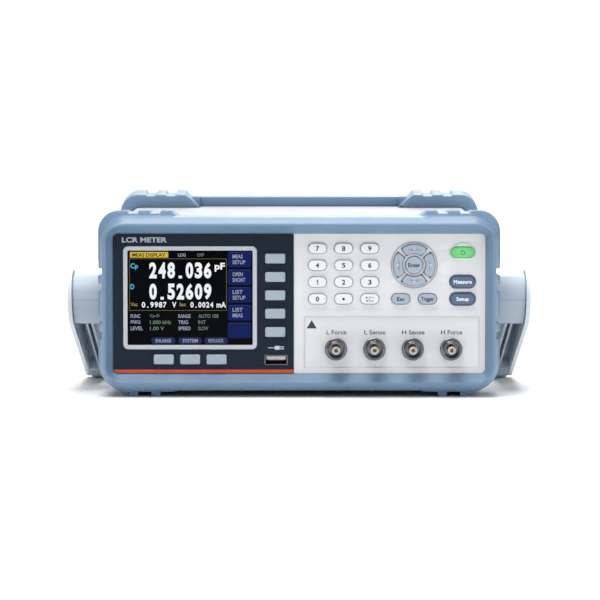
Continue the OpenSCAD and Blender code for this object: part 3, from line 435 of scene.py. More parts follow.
def settle(piece, finish, body="case", slot=None, replaced=(), sharp=38):
    if finish:
        piece.data.materials.clear()
        piece.data.materials.append(finishes[finish] if isinstance(finish, str) else finish)
    if sharp:
        piece.data.shade_smooth()
        piece.data.set_sharp_from_angle(angle=radians(sharp))
    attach(piece, body)
    if replaced:
        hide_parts(*replaced)
    return piece


# Quads between loops of equal length; capped unless the last loop meets the first
def loftFaces(loops, ring=False, start=0):
    count, points, faces = len(loops[0]), [], []
    for loop in loops:
        points += loop
    rows = len(loops) if ring else len(loops) - 1
    for row in range(rows):
        a, b = row * count, ((row + 1) % len(loops)) * count
        for i in range(count):
            j = (i + 1) % count
            faces.append((start + a + i, start + a + j, start + b + j, start + b + i))
    if not ring:
        for row, flip in ((0, True), (len(loops) - 1, False)):
            loop = loops[row]
            middle = start + len(points)
            points.append(tuple(sum(p[k] for p in loop) / count for k in range(3)))
            for i in range(count):
                pair = (start + row * count + i, start + row * count + (i + 1) % count)
                faces.append((middle, pair[1], pair[0]) if flip else (middle, pair[0], pair[1]))
    return points, faces


# Marks that say where on a rounded rectangle a point lies, so loops of any size match up
def outlineMarks(perCorner=8, perSide=1):
    marks = []
    for quarter in range(4):
        marks += [("arc", quarter, i / perCorner) for i in range(perCorner + 1)]
        marks += [("side", quarter, i / (perSide + 1)) for i in range(1, perSide + 1)]
    return marks


def outlineAt(mark, a, b, r):
    kind, quarter, t = mark
    signs = ((1, 1), (-1, 1), (-1, -1), (1, -1))
    if kind == "arc":
        sx, sz = signs[quarter]
        angle = radians(90 * (quarter + t))
        return sx * (a - r) + r * cos(angle), sz * (b - r) + r * sin(angle)
    first = outlineAt(("arc", quarter, 1), a, b, r)
    last = outlineAt(("arc", (quarter + 1) % 4, 0), a, b, r)
    return first[0] + (last[0] - first[0]) * t, first[1] + (last[1] - first[1]) * t


def outlineLoop(marks, a, b, r, y, x=0.0, z=0.0):
    r = min(r, a - 0.01, b - 0.01)
    spots = [outlineAt(m, a, b, r) for m in marks]
    return [(x + p[0], y, z + p[1]) for p in spots]


# Bumpers
bumper = dict(
    halfWidth=113.9, halfHeight=49.8, radius=15.0, side=(114.9, 49.8, 15.0), foot=(114.9, 50.6, 17.0),
    pad=(115.05, 53.5, 12.5), shrinkX=2.5, shrinkZ=4.5, shrinkR=4.0, roundDepth=5.0,
    padFrom=70.0, padFull=73.6, slopeFrom=63.75, blockFrom=25.0, midDepth=24.0, cornerDepth=44.0,
    notches=(82.2, 95.0), notchHalf=3.1, notchFront=1.9, notchBack=2.4, notchSlant=0.8, padFall=1.6, chamfer=0.7,
    nubHalf=2.65, nubFrom=8.0, nubTo=40.0, bandEnd=20.5, backRoom=0.8, sleeve=(106.72, 43.72, 4.0),
    tray=(108.68, 43.38, 4.0),
    sideNotches=(9.3, 18.1), sideNotchHalf=2.0, sideNotchTo=-1.4,
    ridge=(110.3, 44.5, 8.0), mouth=(106.5, 40.0, 2.5), recess=7.0)


def softStep(x, edge, width=0.42):
    spots = ((-width, 0.0), (-0.35 * width, 0.13), (0.35 * width, 0.87), (width, 1.0))
    d = x - edge
    if d <= -width:
        return 0.0
    for (d0, v0), (d1, v1) in zip(spots, spots[1:]):
        if d <= d1:
            return v0 + (v1 - v0) * (d - d0) / (d1 - d0)
    return 1.0


def stepSpots(edge, width=0.42):
    return [edge - width, edge - 0.35 * width, edge + 0.35 * width, edge + width]


def between(x, low, high, width=0.42):
    return softStep(x, low, width) * (1 - softStep(x, high, width))


def cutsAt(x, middles, half, width=0.42):
    return sum(between(x, n - half, n + half, width) for n in middles)


def roundedDistance(x, z, a, b, r):
    qx, qz = abs(x) - (a - r), abs(z) - (b - r)
    return hypot(max(qx, 0), max(qz, 0)) + min(max(qx, qz), 0) - r


# How far a point moves along its normal to meet a larger outline
def reachTo(point, normal, shape):
    low, high = -4.0, 9.0
    for _ in range(40):
        mid = (low + high) / 2
        if roundedDistance(point[0] + normal[0] * mid, point[1] + normal[1] * mid, *shape) > 0:
            high = mid
        else:
            low = mid
    return (low + high) / 2


def bumperColumns(size):
    a, b, r = size["halfWidth"], size["halfHeight"], size["radius"]
    top = [0.0, 18.0, 36.0, 52.0, 62.0] + [63.6, 63.8, 66.0, 68.0] + [69.5, 69.85, 70.05, 70.3]
    top += [71.2, 72.2, 73.0, 73.5, 73.7, 74.0, 76.0]
    bottom = list(top)
    slant = size["notchSlant"]
    for x in size["notches"]:
        for edge in (x - size["notchHalf"], x + size["notchHalf"]):
            top += [edge - slant - 0.1, edge - slant * 0.6, edge, edge + slant * 0.6, edge + slant + 0.1]
        top.append(x)
        bottom += stepSpots(x - size["nubHalf"]) + [x] + stepSpots(x + size["nubHalf"])
    side = [0.0, 4.0, 24.6, 24.9, 25.1, 25.4, 29.0, b - r - 1.5]
    for z in size["sideNotches"]:
        side += stepSpots(z - size["sideNotchHalf"]) + stepSpots(z + size["sideNotchHalf"])
    top, bottom, side = sorted(set(top)), sorted(set(bottom)), sorted(set(side))
    top, bottom = [x for x in top if x < a - r], [x for x in bottom if x < a - r]
    arc = [i / 16 for i in range(17)]
    half = [("top", x / (a - r)) for x in top] + [("upper", t) for t in arc]
    half += [("side", z / (b - r)) for z in reversed(side)] + [("side", -z / (b - r)) for z in side if z > 0]
    half += [("lower", t) for t in arc] + [("bottom", x / (a - r)) for x in reversed(bottom)]
    return half


# A column keeps its place along the straight sides; the corner columns share out what is left
def bumperPoint(column, a, b, r):
    kind, t = column
    flatX, flatZ = bumper["halfWidth"] - bumper["radius"], bumper["halfHeight"] - bumper["radius"]
    if kind == "top":
        return (t * flatX, b), (0.0, 1.0)
    if kind == "bottom":
        return (t * flatX, -b), (0.0, -1.0)
    if kind == "side":
        return (a, t * flatZ), (1.0, 0.0)
    sign = 1 if kind == "upper" else -1
    spareX, spareZ = a - r - flatX, b - r - flatZ
    along = (t if kind == "upper" else 1 - t) * (spareX + spareZ + r * pi / 2)
    if along < spareX:
        return (flatX + along, sign * b), (0.0, float(sign))
    if along > spareX + r * pi / 2:
        return (a, sign * (flatZ + spareX + r * pi / 2 + spareZ - along)), (1.0, 0.0)
    angle = pi / 2 - (along - spareX) / r
    return (a - r + r * cos(angle), sign * (b - r + r * sin(angle))), (cos(angle), sign * sin(angle))


def bumperOffset(size, column, point, normal, u):
    kind = column[0]
    x, z = abs(point[0]), point[1]
    start = softStep(u, 6.6, 0.9)
    early = softStep(u, 5.6, 0.5)
    if kind in ("top", "upper"):
        ramp = min(1.0, max(0.0, (x - size["padFrom"]) / (size["padFull"] - size["padFrom"])))
        ramp = ramp * ramp * (3 - 2 * ramp) * 0.4 + ramp * 0.6
        fall = size["padFall"] * normal[1] * max(0.0, u - 8.0) / (size["cornerDepth"] - 8.0)
        lift = (reachTo(point, normal, size["pad"]) - fall) * start * ramp
        if kind == "top":
            cut = cutsAt(x, size["notches"], size["notchHalf"], size["notchSlant"])
            depth = size["notchFront"] + (size["notchBack"] - size["notchFront"]) * u / size["cornerDepth"]
            lift -= max(0.0, lift - (size["pad"][1] - point[1] - depth)) * cut
            lift += slopedEnd(size, x, u)
        return lift
    if kind in ("bottom", "lower"):
        ramp = min(1.0, max(0.0, (x - size["padFrom"]) / 0.8))
        lift = reachTo(point, normal, size["foot"]) * early * ramp
        if kind == "bottom":
            lift += slopedEnd(size, x, u)
            nub = cutsAt(x, size["notches"], size["nubHalf"])
            nub *= between(u, size["nubFrom"], size["nubTo"], 0.5)
            full = -size["pad"][1] - point[1]
            lift += nub * (-full - lift)
        return lift
    lift = reachTo(point, normal, size["side"]) * early
    if abs(z) <= size["blockFrom"]:
        cut = cutsAt(abs(z), size["sideNotches"], size["sideNotchHalf"], 0.3)
        cut *= softStep(u, 2.4, 0.4)
        lift += cut * (size["sideNotchTo"] - lift)
    elif z > 0:
        lift += (reachTo(point, normal, size["pad"]) - lift) * start
    return lift


# Behind the middle band a block's inner end slopes down to the sleeve
def slopedEnd(size, x, u):
    if x >= size["padFrom"] or x < size["slopeFrom"]:
        return 0.0
    return (x - size["padFrom"]) * softStep(u, size["midDepth"] + 0.15, 0.3)


def bumperEnd(size, column, point):
    kind, x, z = column[0], abs(point[0]), abs(point[1])
    share = 1.0
    if kind in ("top", "bottom"):
        share = softStep(x, size["slopeFrom"] - 0.05, 0.05)
    elif kind == "side":
        share = softStep(z, size["blockFrom"], 0.35)
    return size["midDepth"] + (size["cornerDepth"] - size["midDepth"]) * share


def makeBumper(name, size, isFront, replaced):
    a, b, r = size["halfWidth"], size["halfHeight"], size["radius"]
    half = bumperColumns(size)
    loops, backRoom, band, chamfer = [], size["backRoom"], size["bandEnd"], size["chamfer"]

    def loop(rule):
        right = [rule(c) for c in half]
        left = [(-p[0], p[1], p[2]) for p in reversed(right[1:-1])]
        loops.append(right + left)

    def outerRow(u=None, share=None, inset=0.0, back=None):
        def rule(c):
            point, normal = bumperPoint(c, a, b, r)
            end = bumperEnd(size, c, point) - backRoom
            at = u
            if u is None:
                at = band + (end - band) * share if back is None else end + backRoom - back
            turn = min(1.0, at / size["roundDepth"])
            s = (1 - sqrt(max(0.0, 1 - (1 - turn) ** 2))) * (1 - chamfer) + (1 - turn) * chamfer
            shrunk, n = bumperPoint(c, a - size["shrinkX"] * s, b - size["shrinkZ"] * s, r - size["shrinkR"] * s)
            off = bumperOffset(size, c, point, normal, at) - inset
            return (shrunk[0] + n[0] * off, at, shrunk[1] + n[1] * off)
        return rule

    for turn in (0, 12, 25, 38, 52, 66, 78, 90):
        loop(outerRow(u=size["roundDepth"] * (1 - cos(radians(turn)))))
    for u in (5.4, 5.8, 6.2, 6.6, 7.0, 7.5, 7.85, 8.15, 8.5, 10.0, 13.0, 16.5, 20.0):
        loop(outerRow(u=u))
    for share in (0.08, 0.14, 0.15, 0.16, 0.167, 0.176, 0.25, 0.4, 0.55, 0.7, 0.8, 0.835, 0.855, 0.87, 0.9, 0.96,
                  1.0):
        loop(outerRow(share=share))
    for back, inset in ((0.35, 0.12), (0.1, 0.4), (0.0, 0.8)):
        loop(outerRow(back=back, inset=inset))

    def innerRow(shape, u=None, back=None):
        def rule(c):
            point, normal = bumperPoint(c, a, b, r)
            spot, n = bumperPoint(c, *shape)
            return (spot[0], u if u is not None else bumperEnd(size, c, point) - back, spot[1])
        return rule

    sleeve, tray = size["sleeve"], size["tray"]
    loop(innerRow((107.1, 44.1, 4.4), back=0.0))
    loop(innerRow(sleeve, back=0.4))
    if isFront:
        loop(innerRow(sleeve, u=19.3))
        loop(innerRow(tray, u=19.2))
        loop(innerRow(tray, u=size["recess"] - 0.02))
    else:
        loop(innerRow(sleeve, u=size["recess"] + 0.1))
    mouthA, mouthB, mouthR = size["mouth"]
    loop(innerRow((mouthA + 0.06, mouthB + 0.06, mouthR), u=size["recess"] - 0.02))
    loop(innerRow((mouthA, mouthB, mouthR), u=size["recess"] - 0.3))
    ridge = size["ridge"]
    for t, dip in ((0.25, 0.12), (0.5, 0.16), (0.75, 0.12)):
        shape = tuple(m + (g - m) * t for m, g in zip(size["mouth"], ridge))
        shape = (shape[0] + dip, shape[1] + dip, shape[2])
        loop(innerRow(shape, u=(size["recess"] - 0.3) * (1 - t) + 0.3 * t))
    loop(innerRow((ridge[0] - 0.05, ridge[1] - 0.05, ridge[2]), u=0.32))
    loop(innerRow((ridge[0] + 0.1, ridge[1] + 0.12, ridge[2]), u=0.08))
    loop(innerRow((ridge[0] + 0.35, ridge[1] + 0.3, ridge[2] + 0.3), u=0.0))

    def placed(p):
        y = frontY + p[1] if isFront else rearHigh.y - p[1]
        return (p[0], y, midZ + p[2])

    points, faces = loftFaces([[placed(p) for p in row] for row in loops], ring=True)
    return newPiece(name, points, faces, "bumperBlue", slot="bumper_moulding", replaced=replaced, recalc=True,
                    sharp=50)


makeBumper("frontBumper", bumper, True, ["front_bumper"])
makeBumper("rearBumper", bumper, False, ["rear_bumper"])
print("bumpers ready")


def nodeTree(name, inputs):
    tree = bpy.data.node_groups.new(name, "GeometryNodeTree")
    for label, kind, value in inputs:
        socket = tree.interface.new_socket(label, in_out="INPUT", socket_type="NodeSocket" + kind)
        if value is not None:
            socket.default_value = value
    tree.interface.new_socket("Geometry", in_out="OUTPUT", socket_type="NodeSocketGeometry")
    return tree, tree.nodes.new("NodeGroupInput").outputs, tree.nodes.new("NodeGroupOutput")


# Every tree ends the same way: real geometry with a material
def endTree(tree, given, out, geometry):
    real = add(tree, "GeometryNodeRealizeInstances", {"Geometry": geometry})
    dressed = add(tree, "GeometryNodeSetMaterial", {"Geometry": real.outputs[0], "Material": given["Finish"]})
    tree.links.new(dressed.outputs[0], out.inputs[0])
    return tree


# One shape set down at each of the given points
def repeatTree():
    tree, given, out = nodeTree("repeatShape", (
        ("Geometry", "Geometry", None), ("Shape", "Object", None), ("Size", "Float", 1.0),
        ("Turn Spread", "Float", 0.0), ("Turn Axis", "Vector", (0, 1, 0)), ("Seed", "Int", 7),
        ("Finish", "Material", None)))
    shape = add(tree, "GeometryNodeObjectInfo", {"Object": given["Shape"]})
    least = maths(tree, "MULTIPLY", given["Turn Spread"], -1.0)
    chance = add(tree, "FunctionNodeRandomValue", {2: least, 3: given["Turn Spread"], "Seed": given["Seed"]},
                 data_type="FLOAT")
    turn = add(tree, "FunctionNodeAxisAngleToRotation", {"Axis": given["Turn Axis"], "Angle": chance.outputs[1]})
    put = add(tree, "GeometryNodeInstanceOnPoints", {
        "Points": given["Geometry"], "Instance": shape.outputs["Geometry"], "Rotation": turn.outputs[0],
        "Scale": given["Size"]})
    return endTree(tree, given, out, put.outputs[0])


# Rows of one shape: count and pitch along two ways from a corner
def gridTree():
    tree, given, out = nodeTree("repeatGrid", (
        ("Shape", "Object", None), ("Count", "Int", 4), ("Step", "Vector", (0.01, 0, 0)), ("Rows", "Int", 1),
        ("Row Step", "Vector", (0, 0, 0.01)), ("Start", "Vector", (0, 0, 0)), ("Finish", "Material", None)))
    shape = add(tree, "GeometryNodeObjectInfo", {"Object": given["Shape"]})
    line = add(tree, "GeometryNodeMeshLine", {
        "Count": given["Count"], "Start Location": given["Start"], "Offset": given["Step"]})
    first = add(tree, "GeometryNodeInstanceOnPoints", {
        "Points": line.outputs[0], "Instance": shape.outputs["Geometry"]})
    flat = add(tree, "GeometryNodeRealizeInstances", {"Geometry": first.outputs[0]})
    rows = add(tree, "GeometryNodeMeshLine", {"Count": given["Rows"], "Offset": given["Row Step"]})
    second = add(tree, "GeometryNodeInstanceOnPoints", {"Points": rows.outputs[0], "Instance": flat.outputs[0]})
    return endTree(tree, given, out, second.outputs[0])


trees = {"points": repeatTree(), "grid": gridTree()}


# Runs a tree, keeps its result as a plain mesh and takes the modifier away
def grow(name, treeName, shape, finish, points=(), body="case", slot=None, replaced=(), sharp=38, **inputs):
    tree = trees[treeName]
    mesh = meshOf(name, points or [(0, 0, 0)], [], weld=False)
    piece = bpy.data.objects.new(name, mesh)
    scene.collection.objects.link(piece)
    modifier = piece.modifiers.new("repeat", "NODES")
    modifier.node_group = tree
    values = dict(inputs, Shape=shape, Finish=finishes[finish])
    for item in tree.interface.items_tree:
        label = getattr(item, "name", "").replace(" ", "_")
        if item.item_type == "SOCKET" and item.in_out == "INPUT" and label in values:
            modifier[item.identifier] = values[label]
    graph = bpy.context.evaluated_depsgraph_get()
    piece.update_tag()
    graph.update()
    result = bpy.data.meshes.new_from_object(piece.evaluated_get(graph))
    piece.modifiers.remove(modifier)
    piece.data = result
    bpy.data.meshes.remove(mesh)
    result.name = name
    bpy.data.objects.remove(shape, do_unlink=True)
    return settle(piece, None, body, slot, replaced, sharp)


# A shape kept out of the scene, for the trees to repeat
def shapeOf(name, points, faces, sharp=38):
    mesh = meshOf(name, points, faces)
    mesh.shade_smooth()
    mesh.set_sharp_from_angle(angle=radians(sharp))
    return bpy.data.objects.new(name, mesh)


# A profile of (y, r) turned about the Y or the Z axis; it closes on itself unless its ends lie on the axis
def turned(profile, segments=48, centre=(0, 0, 0), axis="y"):
    cx, cy, cz = centre
    closed = profile[0][1] > 0 or profile[-1][1] > 0
    loops = []
    for y, r in profile:
        ring = []
        for i in range(segments):
            a = 2 * pi * i / segments
            u, v = max(r, 0.0005) * cos(a), max(r, 0.0005) * sin(a)
            ring.append((cx + u, cy + y, cz + v) if axis == "y" else (cx + u, cy + v, cz + y))
        loops.append(ring)
    return loftFaces(loops, ring=closed)


# A closed bar or plate: rounded outline in (x, z) run along y with rounded rims
def plateLoops(marks, a, b, r, y0, y1, rim=0.3, x=0.0, z=0.0, steps=3):
    turns = [radians(90 * i / steps) for i in range(steps + 1)]
    rising = [outlineLoop(marks, a - rim + rim * sin(t), b - rim + rim * sin(t), r, y0 + rim * (1 - cos(t)), x, z)
              for t in turns]
    return rising + [outlineLoop(marks, a - rim * (1 - cos(t)), b - rim * (1 - cos(t)), r, y1 - rim * (1 - sin(t)),
                                 x, z) for t in turns]


# Lettering, kept as flat shapes in a unit box and fitted where it goes
def letters(text, bold=0.0, fine=4):
    curve = bpy.data.curves.new("letters", "FONT")
    curve.body, curve.resolution_u, curve.offset = text, fine, bold
    holder = bpy.data.objects.new("letters", curve)
    mesh = bpy.data.meshes.new_from_object(holder)
    points = [(v.co.x, v.co.y) for v in mesh.vertices]
    faces = [tuple(f.vertices) for f in mesh.polygons]
    bpy.data.objects.remove(holder)
    bpy.data.meshes.remove(mesh)
    return points, faces


def fitted(shape, x0, x1, z0, z1):
    points, faces = shape
    lowX, highX = min(p[0] for p in points), max(p[0] for p in points)
    lowZ, highZ = min(p[1] for p in points), max(p[1] for p in points)
    sx, sz = (x1 - x0) / (highX - lowX), (z1 - z0) / max(highZ - lowZ, 1e-6)
    return [(x0 + (p[0] - lowX) * sx, z0 + (p[1] - lowZ) * sz) for p in points], faces


def boxShape(x0, x1, z0, z1, r=0.0, per=4):
    if r <= 0:
        return [(x0, z0), (x1, z0), (x1, z1), (x0, z1)], [(0, 1, 2, 3)]
    marks = outlineMarks(per, 0)
    loop = outlineLoop(marks, (x1 - x0) / 2, (z1 - z0) / 2, r, 0, (x0 + x1) / 2, (z0 + z1) / 2)
    return [(p[0], p[2]) for p in loop], [tuple(range(len(loop)))]


def strokeShape(path, width):
    points, faces = [], []
    for (ax, az), (bx, bz) in zip(path, path[1:]):
        length = hypot(bx - ax, bz - az) or 1e-6
        dx, dz = (bx - ax) / length * width / 2, (bz - az) / length * width / 2
        n = len(points)
        points += [(ax - dx + dz, az - dz - dx), (bx + dx + dz, bz + dz - dx), (bx + dx - dz, bz + dz + dx),
                   (ax - dx - dz, az - dz + dx)]
        faces.append((n, n + 1, n + 2, n + 3))
    return points, faces


def arcShape(cx, cz, r, width, start, end, steps=28):
    points, faces = [], []
    for i in range(steps + 1):
        a = radians(start + (end - start) * i / steps)
        points += [(cx + (r + width / 2) * cos(a), cz + (r + width / 2) * sin(a)),
                   (cx + (r - width / 2) * cos(a), cz + (r - width / 2) * sin(a))]
    for i in range(steps):
        faces.append((2 * i, 2 * i + 2, 2 * i + 3, 2 * i + 1))
    return points, faces


# Flat shapes gathered into one mesh that faces forwards, or backwards with flip
class Sheet:
    def __init__(self, y, flip=False):
        self.y, self.flip, self.points, self.faces = y, flip, [], []

    def put(self, shape, y=None):
        start = len(self.points)
        at = self.y if y is None else y
        for u, v in shape[0]:
            self.points.append((-u if self.flip else u, at, v))
        for face in shape[1]:
            self.faces.append(tuple(start + i for i in face))

    def piece(self, name, finish, **more):
        made = newPiece(name, self.points, self.faces, finish, sharp=0, **more)
        mesh = made.data
        work = bmesh.new()
        work.from_mesh(mesh)
        want = Vector((0, 1 if self.flip else -1, 0))
        for face in work.faces:
            if face.normal.dot(want) < 0:
                face.normal_flip()
        work.to_mesh(mesh)
        work.free()
        return made


print("tools ready")

# Keys
keys = dict(
    flangeFront=-140.2, flangeBack=-139.2, stemEnd=-137.1, stemRadius=1.5, rim=0.9, crown=0.28, edge=0.5,
    digitFace=-144.8, softFace=-145.4, perCorner=7)
keyKinds = {"digit": (5.2, 2.85, 2.84), "pill": (6.7, 2.95, 2.94), "soft": (5.75, 2.8, 0.9),
            "round": (4.9, 4.9, 4.88)}
digits = "7894561230"
keyList = {}
for kind, finish, slot, names in (
        ("digit", "keyWhite", "key_white", ["key_" + label for label in digits] + ["key_point", "key_sign"]),
        ("digit", "keyBlue", "key_blue", ["key_esc", "key_trigger"]),
        ("pill", "keySlate", "key_slate", ["key_measure", "key_setup"]),
        ("pill", "keyGreen", "key_green", ["key_power"]),
        ("round", "keyBlue", "key_blue", ["key_enter"]),
        ("soft", "keySoft", "key_soft", ["soft_key_%d" % n for n in range(1, 6)]),
        ("soft", "keySoft", "key_soft", ["page_key_%d" % n for n in range(1, 4)])):
    keyList.update((name, (kind, finish, slot)) for name in names)


# Loops from the middle of the crown out over its edge, down the wall, out to the flange and in to the stem
def capLoops(outline, face, centre, rim):
    edge, crown = keys["edge"], keys["crown"]
    loops = [outline(inset, face + crown * (max(0.0, 1 - (inset - edge) / 2.6) ** 2) * 0.35)
             for inset in (2.4, 1.7, 1.1, 0.75)]
    for angle in (15, 35, 55, 72, 90):
        t = radians(angle)
        loops.append(outline(edge * (1 - sin(t)), face + 0.1 + edge * (1 - cos(t))))
    loops += [outline(0.0, keys["flangeFront"] - 0.15), outline(-0.1, keys["flangeFront"]),
              outline(-rim, keys["flangeFront"]), outline(-rim, keys["flangeBack"])]
    marks, stem = outlineMarks(keys["perCorner"], 1), keys["stemRadius"]
    for y in (keys["flangeBack"], keys["stemEnd"] - 0.3):
        loops.append(outlineLoop(marks, stem, stem, stem - 0.02, y, *centre))
    loops.append(outlineLoop(marks, 1.2, 1.2, 1.18, keys["stemEnd"], *centre))
    return loops


legendAt = {}


def makeKey(name, kind, finish, slot):
    low, high = boxOf(name)
    x, z = (low.x + high.x) / 2, (low.z + high.z) / 2
    a, b, r = keyKinds[kind]
    face = keys["softFace"] if kind == "soft" else keys["digitFace"]
    rim = 0.8 if kind == "round" else keys["rim"]
    marks = outlineMarks(keys["perCorner"], 1)

    def outline(inset, y):
        return outlineLoop(marks, max(0.3, a - inset), max(0.25, b - inset), max(0.2, r - inset), y, x, z)

    points, faces = loftFaces(capLoops(outline, face, (x, z), rim))
    # The power key's green carries a painted glow
    if name == "key_power":
        finishes["keyGreen"] = makePaintedGlowKey("keyGreen", (x, face, z))
    newPiece(name + ".cap", points, faces, finish, body=name, slot=slot, replaced=[name], recalc=True,
             sharp=50)
    legendAt[name] = (x, z, face)


for name, (kind, finish, slot) in keyList.items():
    makeKey(name, kind, finish, slot)

arrows = dict(middle=9.35, halfDepth=2.55, halfAngle=38.0, corner=1.5, rim=0.6)
ringX, ringZ = legendAt["key_enter"][:2]


def makeArrow(name, turn):
    marks = outlineMarks(keys["perCorner"], 7)
    length = radians(arrows["halfAngle"]) * arrows["middle"]

    def outline(inset, y):
        flat = outlineLoop(marks, max(0.5, length - inset), max(0.2, arrows["halfDepth"] - inset),
                           max(0.15, arrows["corner"] - inset), y)
        spots = []
        for u, _, v in flat:
            angle, radius = radians(turn) - u / arrows["middle"], arrows["middle"] + v
            spots.append((ringX + radius * cos(angle), y, ringZ + radius * sin(angle)))
        return spots

    loops = capLoops(outline, keys["digitFace"], (0, 0), arrows["rim"])[:-3]
    c, s = cos(radians(turn)), sin(radians(turn))
    cx, cz = ringX + arrows["middle"] * c, ringZ + arrows["middle"] * s
    points, faces = loftFaces(loops)
    root, end, radius = keys["flangeBack"] - 0.3, keys["stemEnd"], keys["stemRadius"]
    stem, stemFaces = turned([(root, 0), (root, radius), (end - 0.3, radius), (end, 1.2), (end, 0)], 24, (cx, 0, cz))
    start = len(points)
    newPiece(name + ".cap", points + stem, faces + [tuple(start + i for i in f) for f in stemFaces], "keyBlue",
             body=name, slot="key_blue", replaced=[name], recalc=True, sharp=50)
    tip = [(cx + 0.95 * c, cz + 0.95 * s), (cx - 0.5 * c - s, cz - 0.5 * s + c),
           (cx - 0.5 * c + s, cz - 0.5 * s - c)]
    sheet = Sheet(keys["digitFace"])
    sheet.put((tip, [(0, 1, 2)]))
    sheet.piece(name + ".legend", "legendPale", body=name)


for name, turn in {"key_up": 90, "key_down": -90, "key_left": 180, "key_right": 0}.items():
    makeArrow(name, turn)
print("keys ready:", len(keyList) + 4)


# Legends on the keys
legends = dict(
    digit=(1.95, 2.85), line=0.34,
    words=(("key_esc", "Esc", 4.3, 2.2, "legendBlack"), ("key_trigger", "Trigger", 7.6, 2.9, "legendBlack"),
           ("key_enter", "Enter", 6.8, 2.4, "legendBlack"), ("key_measure", "Measure", 10.4, 2.3, "legendWhite"),
           ("key_setup", "Setup", 7.2, 2.8, "legendWhite")))


def legendSheet(name):
    x, z, face = legendAt[name]
    return x, z, Sheet(face)


for label in digits:
    x, z, sheet = legendSheet("key_" + label)
    w, h = legends["digit"]
    if label == "1":
        sheet.put(strokeShape([(x + 0.2, z - h / 2 + 0.2), (x + 0.2, z + h / 2 - 0.22)], 0.44))
        sheet.put(strokeShape([(x - 0.5, z + h / 2 - 0.85), (x + 0.1, z + h / 2 - 0.3)], 0.38))
    else:
        sheet.put(fitted(letters(label, 0.03, 6), x - w / 2, x + w / 2, z - h / 2, z + h / 2))
    sheet.piece("key_%s.legend" % label, "legendBlack", body="key_" + label)

x, z, sheet = legendSheet("key_point")
sheet.put(boxShape(x - 0.75, x + 0.75, z - 0.75, z + 0.75, 0.74, 8))
sheet.piece("key_point.legend", "legendBlack", body="key_point")

x, z, sheet = legendSheet("key_sign")
for x0, z0, x1, z1, wide in ((-2.3, 0.75, -1.1, 0.75, 0.34), (-1.7, 0.15, -1.7, 1.35, 0.34),
                             (-0.45, -0.1, 0.4, 1.6, 0.3), (1.0, 0.75, 2.2, 0.75, 0.34),
                             (-1.3, -1.05, 2.1, -1.05, 0.34)):
    sheet.put(strokeShape([(x + x0, z + z0), (x + x1, z + z1)], wide))
sheet.put(([(x - 2.3, z - 1.05), (x - 1.2, z - 1.6), (x - 1.2, z - 0.5)], [(0, 1, 2)]))
sheet.piece("key_sign.legend", "legendBlack", body="key_sign")

for name, text, w, h, finish in legends["words"]:
    x, z, sheet = legendSheet(name)
    dip = -0.25 if text in ("Trigger", "Setup") else 0.0
    sheet.put(fitted(letters(text, 0.025, 5), x - w / 2, x + w / 2, z - h / 2 + dip, z + h / 2 + dip))
    sheet.piece(name + ".legend", finish, body=name)

x, z, sheet = legendSheet("key_power")
sheet.put(arcShape(x, z - 0.15, 1.15, legends["line"], 125, 415))
sheet.put(strokeShape([(x, z + 0.25), (x, z + 1.45)], legends["line"]))
sheet.piece("key_power.legend", "legendGreen", body="key_power")
print("key legends ready")


# Raised lips round the key openings of the light panel
surround = dict(out=(0.42, 1.15), height=0.22, behind=0.3)
marks = outlineMarks(8, 1)
(inner, outer), lift, behind = surround["out"], surround["height"], surround["behind"]
for name, kind, finish, around in (
        ("keySurrounds", "digit", "bezelGrey", [n for n, row in keyList.items() if row[0] == "digit"]),
        ("pillSurrounds", "pill", "keySlate", ["key_measure", "key_setup"])):
    a, b, r = keyKinds[kind]
    loops = [outlineLoop(marks, a + o, b + o, r + o, y) for o, y in (
        (inner, behind), (inner, -lift * 0.5), (inner + 0.1, -lift), (inner + 0.25, -lift * 1.05),
        (outer - 0.2, -lift * 0.55), (outer, 0.0), (outer, behind))]
    places = [(legendAt[n][0], panelY + behind, legendAt[n][1]) for n in around]
    shape = shapeOf(name + "Shape", *loftFaces(loops, ring=True))
    grow(name, "points", shape, finish, places, slot="bezel_moulding")


# The shallow ring that frames the arrow keys
def circleLoop(radius, y, x, z, count=96):
    turns = [2 * pi * i / count for i in range(count)]
    return [(x + radius * cos(t), y, z + radius * sin(t)) for t in turns]


ringFrame = dict(inner=12.95, outer=13.4, proud=0.16)
inner, outer, face = ringFrame["inner"], ringFrame["outer"], panelY - ringFrame["proud"]
points, faces = loftFaces([circleLoop(r, y, ringX, ringZ) for r, y in (
    (inner, panelY + 0.2), (inner, panelY - 0.06), (inner + 0.12, face), (outer - 0.12, face),
    (outer, panelY - 0.06), (outer, panelY + 0.2))], ring=True)
newPiece("arrowRing", points, faces, "keyBlue", slot="bezel_moulding", recalc=True)
print("key surrounds ready")


# The screen
screenLow, screenHigh = boxOf("lcd_window")
screen = dict(front=screenLow.y, gap=0.05, corner=0.7)
marks = outlineMarks(6, 1)
a, b = (screenHigh.x - screenLow.x) / 2, (screenHigh.z - screenLow.z) / 2
cx, cz = (screenHigh.x + screenLow.x) / 2, (screenHigh.z + screenLow.z) / 2
points, faces = loftFaces(plateLoops(marks, a, b, screen["corner"], screenLow.y, screenHigh.y, 0.08, cx, cz))
newPiece("screenGlass", points, faces, "screenBlack", slot="screen_glass", replaced=["lcd_window"],
         recalc=True)

# Places on the screen in steps of a fixed grid: x from its left edge, z from its top, in 1/200 of its height
unit = (screenHigh.z - screenLow.z) / 200


def onScreen(x0, z0, x1, z1):
    left, top = screenLow.x, screenHigh.z
    return left + x0 * unit, left + x1 * unit, top - z1 * unit, top - z0 * unit


back = screen["front"] - screen["gap"]
front = back - screen["gap"]
sheets = {name: Sheet(front) for name in (
    "litWhite", "litCyan", "litYellow", "litGreen", "litGrey", "litStraw", "litNavy", "litDusk", "litSlate",
    "screenBlack")}


